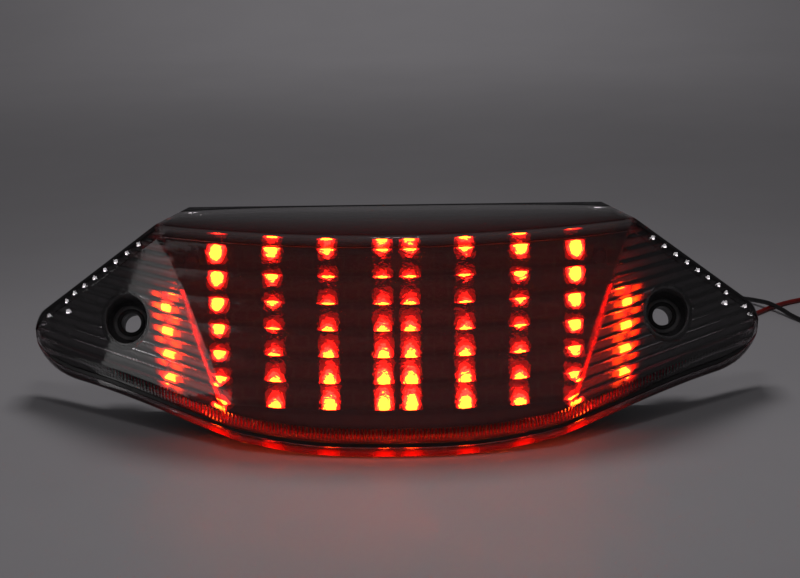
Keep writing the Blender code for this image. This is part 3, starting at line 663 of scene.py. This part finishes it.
def slab(name, inset, used, rows_of, count, front, back):
    """A closed solid between two surfaces inside the silhouette, as in the solids but finer."""
    bm = bmesh.new()
    sheets = ([], [])
    for low_x, high_x in used:
        low = outline(low_x, inset)[0]
        high = outline(high_x, inset)[1]
        rows = np.array(rows_of(low, high, count))
        z = rows[:, 0]
        x = low_x + (high_x - low_x) * (z - low) / (high - low)
        fronts = front(x, z, low, high) + rows[:, 1] - MIDDLE_Y
        backs = back(x, z, low, high) - MIDDLE_Y
        sheets[0].append([bm.verts.new(point) for point in zip(x, fronts, z)])
        sheets[1].append([bm.verts.new(point) for point in zip(x, backs, z)])
    for sheet in sheets:
        for left, right in zip(sheet, sheet[1:]):
            for i in range(len(left) - 1):
                bm.faces.new((left[i], right[i], right[i + 1], left[i + 1]))
    fronts, backs = sheets
    for i in range(len(fronts) - 1):
        for row in (0, -1):
            bm.faces.new((fronts[i][row], fronts[i + 1][row], backs[i + 1][row], backs[i][row]))
    for i in range(len(fronts[0]) - 1):
        for end in (0, -1):
            bm.faces.new((fronts[end][i], fronts[end][i + 1], backs[end][i + 1], backs[end][i]))
    for side in (-1, 1):
        point = (side * SHOULDER[0], SHOULDER[1] - MIDDLE_Y, SHOULDER[2] - SHOULDER_SECANT * inset)
        geometry = bm.verts[:] + bm.edges[:] + bm.faces[:]
        cut = bmesh.ops.bisect_plane(
            bm, geom=geometry, dist=CUT_TOLERANCE, plane_co=point,
            plane_no=(side * SHOULDER_FALL, SHOULDER_BACK_FALL, 1), clear_outer=True,
        )
        edges = [e for e in cut["geom_cut"] if isinstance(e, bmesh.types.BMEdge) and e.is_boundary]
        bmesh.ops.holes_fill(bm, edges=edges, sides=0)
    return mesh_from(name, bm)


def post_point(side, along):
    back = POST_Y - MIDDLE_Y + along * math.cos(POST_TILT)
    return Vector((side * POST_X, back, POST_Z - along * math.sin(POST_TILT)))


def cylinder(name, start, stop, radius):
    run = stop - start
    turn = run.to_track_quat("Z", "Y").to_matrix().to_4x4()
    bm = bmesh.new()
    bmesh.ops.create_cone(
        bm, cap_ends=True, segments=ROUND_SIDES, radius1=radius, radius2=radius, depth=run.length,
        matrix=Matrix.Translation(start + run / 2) @ turn,
    )
    return add_object(name, mesh_from(name, bm))


# Lens


def crease_x(z):
    return CREASE_LOW_X + (CREASE_HIGH_X - CREASE_LOW_X) * np.clip(z / TOP_Z, 0, 1)


def rib_level(x, z):
    """Height of the rib through a point, counted in ribs. The ribs fan out from the middle of the lamp."""
    out = abs(x) - RIB_START_X
    return (z - RIB_FAN[0] * out) / (1 - RIB_FAN[1] * out) / RIB_PITCH


def relief(x, z):
    """Height of the flutes behind the window and of the ribs behind the ears."""
    flute = ((z - FLUTE_PHASE) / FLUTE_PITCH) % 1.0
    flutes = FLUTE_DEPTH * (1 - (2 * flute - 1) ** 2)
    ribs = RIB_DEPTH * (1 - abs(2 * (rib_level(x, z) % 1.0) - 1) ** 2.2)
    ear = np.clip((abs(x) - crease_x(z)) / RELIEF_BLEND + 0.5, 0, 1)
    return flutes * (1 - ear) + ribs * ear


def lens_front(x, z, low, high):
    return face_y(x, z)


def inside_front(x, z, low, high):
    return face_y(x, z) + LENS_FRONT_WALL + relief(x, z)


def inside_back(x, z, low, high):
    return rim_y(x, z, low, high) + OPEN_REAR


def envelope_front(x, z, low, high):
    return face_y(x, z) + CUP_SETBACK


def envelope_back(x, z, low, high):
    return 0 * x + REAR_Y + ENVELOPE_PAST_REAR


def make_lens():
    used = columns(0.0, *LENS_COLUMNS)
    body = slab("lens_body", 0.0, used, lens_rows, LENS_ROWS, lens_front, rim_y)
    used = columns(LENS_WALL, *INSIDE_COLUMNS)
    inside = slab("lens_inside", LENS_WALL, used, even_rows, INSIDE_ROWS, inside_front, inside_back)
    used = columns(0.0, *ENVELOPE_COLUMNS)
    envelope = slab("envelope", 0.0, used, even_rows, ENVELOPE_ROWS, envelope_front, envelope_back)
    lens = add_object("lens_body", body)
    inside = add_object("lens_inside", inside)
    envelope = add_object("envelope", envelope)
    helpers = [inside, envelope]
    add_boolean(lens, inside, "DIFFERENCE")
    for side in (-1, 1):
        start, stop = post_point(side, -CUP_REACH), post_point(side, CUP_FLOOR)
        cup = cylinder("cup", start, stop, CUP_RADIUS + CUP_WALL)
        add_boolean(cup, envelope, "INTERSECT")
        bore = cylinder("bore", post_point(side, -BORE_REACH), post_point(side, 0), CUP_RADIUS)
        start, stop = post_point(side, HOLE_SPAN[0]), post_point(side, HOLE_SPAN[1])
        hole = cylinder("hole", start, stop, POST_HOLE_RADIUS)
        add_boolean(lens, cup, "UNION")
        add_boolean(lens, bore, "DIFFERENCE")
        add_boolean(lens, hole, "DIFFERENCE")
        helpers += [cup, bore, hole]
    mesh = baked(lens, helpers)
    mesh.name = "smoked_lens_shell"
    smooth(mesh, 28)
    mark_lens(mesh)
    bm = bmesh.new()
    bm.from_mesh(mesh)
    add_rib_ends(bm)
    bm.to_mesh(mesh)
    bm.free()
    shell = add_object("smoked_lens_shell", mesh, lens_look())
    bright = surface("rib_end_facets", (0.30, 0.30, 0.30), (0.42, 0.42, 0.42), (0.12, 0.2), 900, 0.00003, 1.0)
    mesh.materials.append(bright)
    piece(shell, "smoked_lens", "lens")


def between(values, low, high):
    return (values > low) & (values < high)


def bell(distance, width):
    return np.exp(-((distance / width) ** 2))


def mark_lens(mesh):
    """Stores on each vertex where it lies on the ribs and the toothed strip, how hazy or dark it is, and the
    painted shade, sheen, highlights and glow it carries.
    """
    points = np.empty(len(mesh.vertices) * 3)
    mesh.vertices.foreach_get("co", points)
    x, y, z = points.reshape(-1, 3).T
    y = y + MIDDLE_Y
    out = abs(x)
    lows, highs = np.array([outline(value, 0.0) for value in x]).T
    up = z - lows
    down = highs - z
    depth = y - face_y(x, z)
    on_face = depth < FACE_DEPTH
    inside = between(depth, *INSIDE_DEPTH)
    behind = depth > INSIDE_DEPTH[0]
    ear = out > crease_x(z)

    strip = between(up, *STRIP_SPAN) & on_face
    strip = strip * np.clip((STRIP_END_X - out) / STRIP_FADE, STRIP_LEAST, 1)
    # Painted shade: a dark line below the strip, a band above it, and the rim along the top and tips of the
    # ears
    line = sum(between(up, *span) for span in DARK_LINES) * on_face
    edge = np.clip((RIM_WIDTH - down) / RIM_BLEND, 0, 1) * (out > SHOULDER[0])
    tip = np.hypot(out - TIP_CENTRE_X, z - TIP_CENTRE_Z) - (TIP_RADIUS - TIP_RIM_WIDTH)
    tip = np.clip(tip / RIM_BLEND, 0, 1) * (out > TIP_CENTRE_X) * (up > TIP_RIM_LOW)
    # Ruby frost along the crease, painted glow
    crease = np.clip(1 - abs(out - crease_x(z)) / CREASE_WIDTH, 0, 1)
    crease = crease * (depth > CREASE_DEPTH) * between(z, *CREASE_SPAN)
    # Painted glow on the lip, strongest under each LED column
    under = sum(bell(out - column, LIP_GLOW_WIDTH) for column in LED_COLUMNS)
    lip = (up < LIP_SIZE) * (depth < LIP_SIZE) * np.minimum(LIP_GLOW[0] + LIP_GLOW[1] * under, 1)
    # Bars of painted light in the ears, either side of the ear's LED column
    bars = sum(bell(out - LED_EAR_COLUMN - side * BAR_SHIFT, BAR_WIDTH) for side in (-1, 1))
    # A painted sheen on the top panel, and painted highlights along the front top edge and round each cup rim
    lid = (depth > LID_DEPTH) & (down < LID_EDGE) & (out < SHOULDER[0])
    band = (depth < LID_DEPTH) & between(down, LID_EDGE, BAND_EDGE) & (out < CREASE_HIGH_X)
    lean = (y - POST_Y) * math.sin(POST_TILT) + (z - POST_Z) * math.cos(POST_TILT)
    cup_rim = (abs(np.hypot(out - POST_X, lean) - CUP_RADIUS) < CUP_RIM_WIDTH) & (depth < CUP_RIM_DEPTH)
    marks = {
        "rib": np.where(ear, rib_level(x, z), (z - FLUTE_PHASE) / FLUTE_PITCH),
        # Painted shade in the grooves
        "painted_groove_shade": inside * np.where(ear, 1.0, WINDOW_GROOVE_SHADE),
        "rim": np.maximum(np.maximum(edge, tip), DARK_LINE_SHARE * line),
        "haze": inside * np.where(ear, EAR_HAZE, WINDOW_HAZE),
        "lid": np.maximum(lid * LID_SHEEN, np.maximum(band * BAND_HIGHLIGHT, cup_rim * CUP_RIM_HIGHLIGHT)),
        "lip": lip,
        "inner": np.maximum(behind * np.where(up > LOW_INSIDE, 1.0, LOW_INSIDE_TINT), STRIP_TINT * strip),
        "strip": strip,
        "peel": np.where(inside & ~ear, 1.0, EAR_PEEL),
        "bars": BAR_SHARE * bars * inside * ear * between(z, *BAR_SPAN),
        "crease": CREASE_SHARE * crease,
        "along": x * TOOTH_STRETCH,
    }
    for name, values in marks.items():
        made = mesh.attributes.new(name, "FLOAT", "POINT")
        made.data.foreach_set("value", np.asarray(values, np.float32))


def rib_end(level):
    """Where the top of a rib meets the rim painted dark, found by halving the stretch that it can end in."""
    near, far = 0.0, RIB_END_REACH
    for _ in range(HALVINGS):
        out = (near + far) / 2
        x = RIB_START_X + out
        z = level * (1 - RIB_FAN[1] * out) + RIB_FAN[0] * out
        in_tip = math.hypot(max(x - TIP_CENTRE_X, 0), z - TIP_CENTRE_Z) < TIP_RADIUS - RIB_END_DROP
        if z < shoulder_z(x) - RIB_END_DROP and (x < TIP_CENTRE_X or in_tip):
            near = out
        else:
            far = out
    return x, z


def add_rib_ends(bm):
    """A small bright facet at the outer end of each rib, turned up to the light, inside the rim painted dark.
    """
    size = Matrix.Diagonal((*RIB_END_SIZE, 1))
    for side in (-1, 1):
        facing = Vector((side * RIB_END_FACING[0], RIB_END_FACING[1], RIB_END_FACING[2]))
        turn = facing.to_track_quat("Z", "Y").to_matrix().to_4x4()
        for number in RIB_ENDS:
            x, z = rib_end(RIB_PITCH * (number + RIB_END_LEVEL))
            spot = Vector((side * x, float(face_y(x, z)) - MIDDLE_Y, z))
            made = bmesh.ops.create_cube(bm, size=1, matrix=Matrix.Translation(spot) @ turn @ size)
            for vert in made["verts"]:
                for face in vert.link_faces:
                    face.material_index = 1


# Bushes


def turned(name, profile, spot, direction):
    """A solid turned about an axis from a closed profile of (radius, along)."""
    bm = bmesh.new()
    angles = [2 * math.pi * i / BUSH_SIDES for i in range(BUSH_SIDES)]
    rings = []
    for radius, along in profile:
        rings.append([bm.verts.new((radius * math.cos(a), radius * math.sin(a), along)) for a in angles])
    for near, far in zip(rings, rings[1:] + rings[:1]):
        join_rings(bm, near, far)
    mesh = mesh_from(name, bm)
    mesh.transform(Matrix.Translation(spot) @ direction.to_track_quat("Z", "Y").to_matrix().to_4x4())
    return mesh


def bush_part(offset, axis):
    """Which finish a face of a bush has, from where it is: 0 plain, 1 the outer rim painted lighter grey as
    if lit, or 2 the wall of the bore.
    """
    along = offset.dot(axis)
    radius = (offset - axis * along).length
    if radius < BUSH_WALL_RADIUS:
        return 2
    return 1 if radius > BUSH_LIT_RIM_RADIUS and along < -GAP else 0


def make_bushes():
    rubber = surface("bush_rubber_black", RUBBER_DARK, RUBBER_LIGHT, (0.35, 0.55), 2500, 0.00004)
    # The outer rim of each bush is painted lighter grey, as if lit
    painted_lit_rim = surface("bush_rubber_painted_lit_rim", (0.13, 0.13, 0.13), (0.22, 0.22, 0.22), (0.3, 0.5), 2500, 0.00004)
    wall = surface("bush_bore_wall", (0.22, 0.22, 0.22), (0.38, 0.37, 0.37), (0.3, 0.45), 1800, 0.00003)
    bore = []
    for i in range(BUSH_RINGS):
        start = BUSH_RING_START + (BUSH_BACK - BUSH_RING_START) * i / BUSH_RINGS
        bore += [(BUSH_BORE, start), (BUSH_BORE + BUSH_RING_RISE, start + BUSH_RING_WIDTH)]
    profile = BUSH_FLANGE + tuple(bore) + ((BUSH_BORE, BUSH_BACK),)
    for side, word in ((-1, "left"), (1, "right")):
        spot = post_point(side, 0)
        axis = (post_point(side, 1) - spot).normalized()
        mesh = turned(f"fitted_bush_{word}", profile, spot, axis)
        for face in mesh.polygons:
            face.material_index = bush_part(face.center - spot, axis)
        for look in (rubber, painted_lit_rim, wall):
            mesh.materials.append(look)
        smooth(mesh, 40)
        piece(add_object(f"fitted_bush_{word}", mesh), "bush_rubber", f"mount_bush_{word}")


# LEDs


def add_led(bm, z):
    """One LED: a square package with cut corners and a round dome."""
    back = BOARD_Y - GAP - MIDDLE_Y
    front = back - LED_DEPTH
    half = LED_SIDE / 2
    cut = half - LED_CORNER
    corners = [(half, cut), (cut, half), (-cut, half), (-half, cut),
               (-half, -cut), (-cut, -half), (cut, -half), (half, -cut)]
    package = []
    for shrink, y in ((1.0, back), (1.0, front + LED_EDGE), (LED_FRONT_SHRINK, front)):
        package.append([bm.verts.new((a * shrink, y, z + b * shrink)) for a, b in corners])
    for near, far in zip(package, package[1:]):
        join_rings(bm, near, far, PACKAGE)
    bm.faces.new(package[0])
    bm.faces.new(package[-1])
    dome = []
    for angle in DOME_ANGLES:
        turn = math.radians(angle)
        radius = LED_DOME_RADIUS * math.cos(turn)
        y = front + LED_DOME_SINK - LED_DOME_HEIGHT * math.sin(turn)
        angles = [2 * math.pi * i / LED_DOME_SIDES for i in range(LED_DOME_SIDES)]
        dome.append([bm.verts.new((radius * math.cos(a), y, z + radius * math.sin(a))) for a in angles])
    for near, far, look in zip(dome, dome[1:], DOME_LOOKS):
        join_rings(bm, near, far, look)
    bm.faces.new(dome[-1]).material_index = DOME_CENTRE
    bm.faces.new(dome[0]).material_index = DOME_LOW


def led_mesh(name, rows, first_z, looks):
    bm = bmesh.new()
    for row in range(rows):
        add_led(bm, first_z + LED_PITCH * row)
    length = LED_PITCH * (rows - 1)
    back = BOARD_Y - GAP - MIDDLE_Y - LED_LEG_SETBACK
    for x in (-LED_LEG_X, LED_LEG_X):
        matrix = Matrix.Translation((x, back, first_z + length / 2)) @ Matrix.Diagonal((*LED_LEG, length, 1))
        made = bmesh.ops.create_cube(bm, size=1, matrix=matrix)
        for vert in made["verts"]:
            for face in vert.link_faces:
                face.material_index = LEG
    mesh = mesh_from(name, bm)
    for look in looks:
        mesh.materials.append(look)
    smooth(mesh, 40)
    return mesh


def make_leds():
    looks = (
        glowing("led_package_red", (1.0, 0.010, 0.003), 0.25),
        glowing("led_dome_red", (1.0, 0.010, 0.005), 3.4),
        glowing("led_dome_centre", (1.0, 0.080, 0.004), 62.0),
        surface("led_leg_tin", (0.02, 0.012, 0.012), (0.05, 0.03, 0.03), (0.35, 0.55), 4000, 0.00002),
        glowing("led_dome_shoulder", (1.0, 0.010, 0.006), 20.0),
    )
    tall = led_mesh("led_tall", LED_ROWS, LED_FIRST_Z, looks)
    short = led_mesh("led_short", LED_EAR_ROWS, LED_EAR_FIRST_Z, looks)
    places = [-LED_EAR_COLUMN] + [-x for x in reversed(LED_COLUMNS)] + list(LED_COLUMNS) + [LED_EAR_COLUMN]
    for number, x in enumerate(places, start=1):
        mesh = short if abs(x) == LED_EAR_COLUMN else tall
        column = add_object(f"lit_column_{number:02d}", mesh)
        column.location = (x, 0, 0)
        piece(column, "led_red", f"led_column_{number:02d}")


# Leads


def shifted(points):
    return [Vector((x, y - MIDDLE_Y, z)) for x, y, z in points]


def coil_place(done):
    """How far in and how far up a coil is after some turns, as shares that ease from one key to the next."""
    for before, after in zip(COIL_KEYS, COIL_KEYS[1:]):
        if done <= after[0]:
            break
    share = (done - before[0]) / (after[0] - before[0])
    share = share * share * (3 - 2 * share)
    return [before[i] + (after[i] - before[i]) * share for i in (1, 2)]


def coil_points(centre, start, turns, plug):
    """Points of a coil that starts on its outer low ring, at an angle, and ends towards its plug."""
    away = math.copysign(1, turns)
    count = int(abs(turns) * COIL_STEPS)
    points = []
    for i in range(count + 1):
        done = abs(turns) * i / count
        across, rise = coil_place(done)
        radius = COIL_RINGS[0] + (COIL_RINGS[1] - COIL_RINGS[0]) * across
        height = COIL_LAYERS[0] + (COIL_LAYERS[1] - COIL_LAYERS[0]) * rise
        angle = math.radians(start) + 2 * math.pi * done * away
        points.append((centre[0] + radius * math.cos(angle), centre[1] + radius * math.sin(angle), height))
    end = points[-1]
    points.append((end[0] + 0.0002, end[1] + away * 0.0045, 0.0031))
    points.append(((end[0] + plug[0]) / 2, plug[1] - away * 0.0045, PLUG_HEIGHT + 0.0001))
    points.append((plug[0], plug[1] - away * 0.0004, PLUG_HEIGHT))
    points.append((plug[0], plug[1] + away * 0.0016, PLUG_HEIGHT))
    return points


def lead_curve(name, points, look):
    curve = bpy.data.curves.new(name, "CURVE")
    curve.dimensions = "3D"
    curve.bevel_depth = LEAD_RADIUS
    curve.bevel_resolution = 4
    curve.resolution_u = 6
    curve.use_fill_caps = True
    spline = curve.splines.new("BEZIER")
    spline.bezier_points.add(len(points) - 1)
    places = shifted(points)
    for i, target in enumerate(spline.bezier_points):
        here = places[i]
        before = places[max(i - 1, 0)]
        after = places[min(i + 1, len(places) - 1)]
        run = (after - before).normalized() / 3
        handles = (here - run * (here - before).length, here + run * (after - here).length)
        for handle in handles:
            handle.z = max(handle.z, TABLE)
        target.handle_left_type = target.handle_right_type = "FREE"
        target.co = here
        target.handle_left, target.handle_right = handles
    return add_object(name, curve, look)


def make_tie(name, centre, angle, look):
    """A flat band wrapped once round the turns of a coil."""
    bm = bmesh.new()
    rings = []
    for along, swell in TIE_RINGS:
        rings.append([bm.verts.new((a * swell, along, b * swell)) for a, b in TIE_SECTION])
    for near, far in zip(rings, rings[1:]):
        join_rings(bm, near, far)
    bm.faces.new(rings[0])
    bm.faces.new(rings[-1])
    mesh = mesh_from(name, bm)
    middle = sum(COIL_RINGS) / 2
    turn = math.radians(angle)
    x, y = centre[0] + middle * math.cos(turn), centre[1] + middle * math.sin(turn)
    spot = Vector((x, y - MIDDLE_Y, TIE_HEIGHT))
    mesh.transform(Matrix.Translation(spot) @ Matrix.Rotation(turn, 4, "Z"))
    smooth(mesh, 50)
    return add_object(name, mesh, look)


def make_leads():
    tie_look = surface("tie_nylon", (0.012, 0.012, 0.012), (0.03, 0.03, 0.03), (0.35, 0.55), 2500, 0.00003)
    black = black_vinyl("lead_black_vinyl")
    red = red_vinyl("lead_red_vinyl")
    todo = (
        ("black", black, BLACK_ROUTE, BLACK_COIL, BLACK_START, BLACK_TURNS, BLACK_PLUG, BLACK_TIE),
        ("red", red, RED_ROUTE, RED_COIL, RED_START, RED_TURNS, RED_PLUG, RED_TIE),
    )
    for word, look, route, centre, start, turns, plug, tie_angle in todo:
        points = list(route) + coil_points(centre, start, turns, plug)
        lead = piece(lead_curve(f"wire_{word}", points, look), f"lead_{word}", f"lead_{word}", f"coil_{word}")
        tie = piece(make_tie(f"coil_tie_{word}", centre, tie_angle, tie_look), "component_black")


# Finishes of the solids that are kept


def dress_solids():
    housing = surface("housing_grain", (0.01, 0.01, 0.011), (0.02, 0.02, 0.021), (0.42, 0.62), 1800, 0.00008)
    rubber = surface("seal_rubber", RUBBER_DARK, RUBBER_LIGHT, (0.6, 0.8), 1500, 0.00005)
    zinc = ((0.03, 0.03, 0.032), (0.07, 0.07, 0.072))
    steel = surface("screw_black_zinc", *zinc, (0.3, 0.5), 5000, 0.00002, metallic=1)
    brass = surface("terminal_brass", (0.55, 0.38, 0.14), (0.75, 0.56, 0.24), (0.2, 0.4), 4000, 0.00002, 1)
    tan = surface("resistor_enamel", (0.38, 0.27, 0.16), (0.58, 0.45, 0.30), (0.3, 0.5), 2500, 0.00003)
    epoxy = surface("component_epoxy", (0.012, 0.012, 0.013), (0.03, 0.03, 0.03), (0.35, 0.6), 3000, 0.00003)
    nylon = surface("connector_nylon", (0.60, 0.57, 0.50), (0.78, 0.76, 0.70), (0.4, 0.6), 2500, 0.00003)
    sleeve = surface("sleeve_vinyl", (0.30, 0.30, 0.28), (0.50, 0.50, 0.47), (0.3, 0.5), 2500, 0.00003)
    black = black_vinyl("inner_black_vinyl")
    red = red_vinyl("inner_red_vinyl")
    looks = {
        "rear_housing": housing, "lens_seal": rubber, "edge_gasket": rubber, "lead_grommet": rubber,
        "mount_bush": rubber, "main_circuit_board": board_look(), "board_screw": steel,
        "bullet_terminal": brass, "resistor": tan, "rectifier_diode": epoxy, "voltage_regulator": epoxy,
        "smoothing_capacitor": epoxy, "board_header": nylon, "harness_plug": nylon,
        "plug_sleeve": sleeve, "inner_wire_black": black, "inner_wire_red": red,
    }
    for name, obj in NODES.items():
        for start, look in looks.items():
            if name.startswith(start):
                obj.data.materials.clear()
                obj.data.materials.append(look)
                smooth(obj.data, 35)


# Stage


def make_stage():
    """A pale paper sweep: flat under the lamp, curved up behind it and then upright."""
    bm = bmesh.new()
    rows = []
    for x in (-STAGE_HALF_WIDTH, STAGE_HALF_WIDTH):
        profile = [(STAGE_NEAR_Y, 0)]
        for i in range(SWEEP_STEPS + 1):
            turn = math.pi / 2 * i / SWEEP_STEPS
            back = SWEEP_START_Y + SWEEP_RADIUS * math.sin(turn)
            profile.append((back, SWEEP_RADIUS * (1 - math.cos(turn))))
        profile.append((SWEEP_START_Y + SWEEP_RADIUS, STAGE_TOP))
        rows.append([bm.verts.new((x, y, z)) for y, z in profile])
    left, right = rows
    for i in range(len(left) - 1):
        bm.faces.new((left[i], right[i], right[i + 1], left[i + 1]))
    look = surface("stage_paper", (0.44, 0.44, 0.45), (0.47, 0.47, 0.48), (0.5, 0.56), 60, 0.00005)
    look.node_tree.nodes["Principled BSDF"].inputs["Specular IOR Level"].default_value = 0.15
    floor = add_object("sweep", mesh_from("sweep", bm), look)
    smooth(floor.data, 30)


def add_area(name, location, target, size, power, colour=(1, 1, 1)):
    data = bpy.data.lights.new(name, "AREA")
    data.shape = "RECTANGLE"
    data.size, data.size_y = size
    data.energy = power
    data.color = colour
    lamp = add_object(name, data)
    lamp.location = location
    lamp.rotation_euler = (Vector(target) - Vector(location)).to_track_quat("-Z", "Y").to_euler()
    return lamp


def make_lights():
    """Soft light on the lamp, the table and the paper behind them, and a card that the left ear mirrors."""
    top = add_area("top_light", (0.0, 0.040, 0.5), (0, -0.05, 0), (0.17, 0.12), 0.56, STUDIO)
    top.visible_glossy = top.visible_transmission = False
    add_area("front_light", (0.0, -0.25, 0.5), (0, -0.12, 0), (0.10, 0.07), 0.17, STUDIO)
    back = add_area("back_light", (0.0, 1.0, 0.6), (0, 1.3, 0.05), (0.5, 0.3), 1.0, STUDIO)
    back.visible_glossy = back.visible_transmission = False
    card = add_area("side_card", (-0.215, -0.0665, 0.002), (-0.215, -0.0665, 1), (0.22, 0.09), 0.05)
    card.rotation_euler = (math.radians(180), 0, math.radians(19.5))
    card.visible_camera = False
    card.visible_diffuse = False
    world = bpy.data.worlds.new("world")
    world.use_nodes = True
    world.node_tree.nodes["Background"].inputs["Color"].default_value = (*ROOM, 1)
    bpy.context.scene.world = world
    bpy.context.scene.view_settings.view_transform = "Standard"


def make_camera():
    data = bpy.data.cameras.new("camera")
    data.sensor_width = 36
    data.lens = CAMERA_LENS
    camera = add_object("camera", data)
    pitch = Matrix.Rotation(math.pi / 2 - CAMERA_DOWN, 4, "X")
    roll = Matrix.Rotation(CAMERA_ROLL, 4, "Z")
    camera.matrix_world = Matrix.Translation(CAMERA_PLACE) @ pitch @ roll
    bpy.context.scene.camera = camera


make_camera()
make_leads()
make_lens()
make_bushes()
make_leds()
dress_solids()
make_stage()
make_lights()
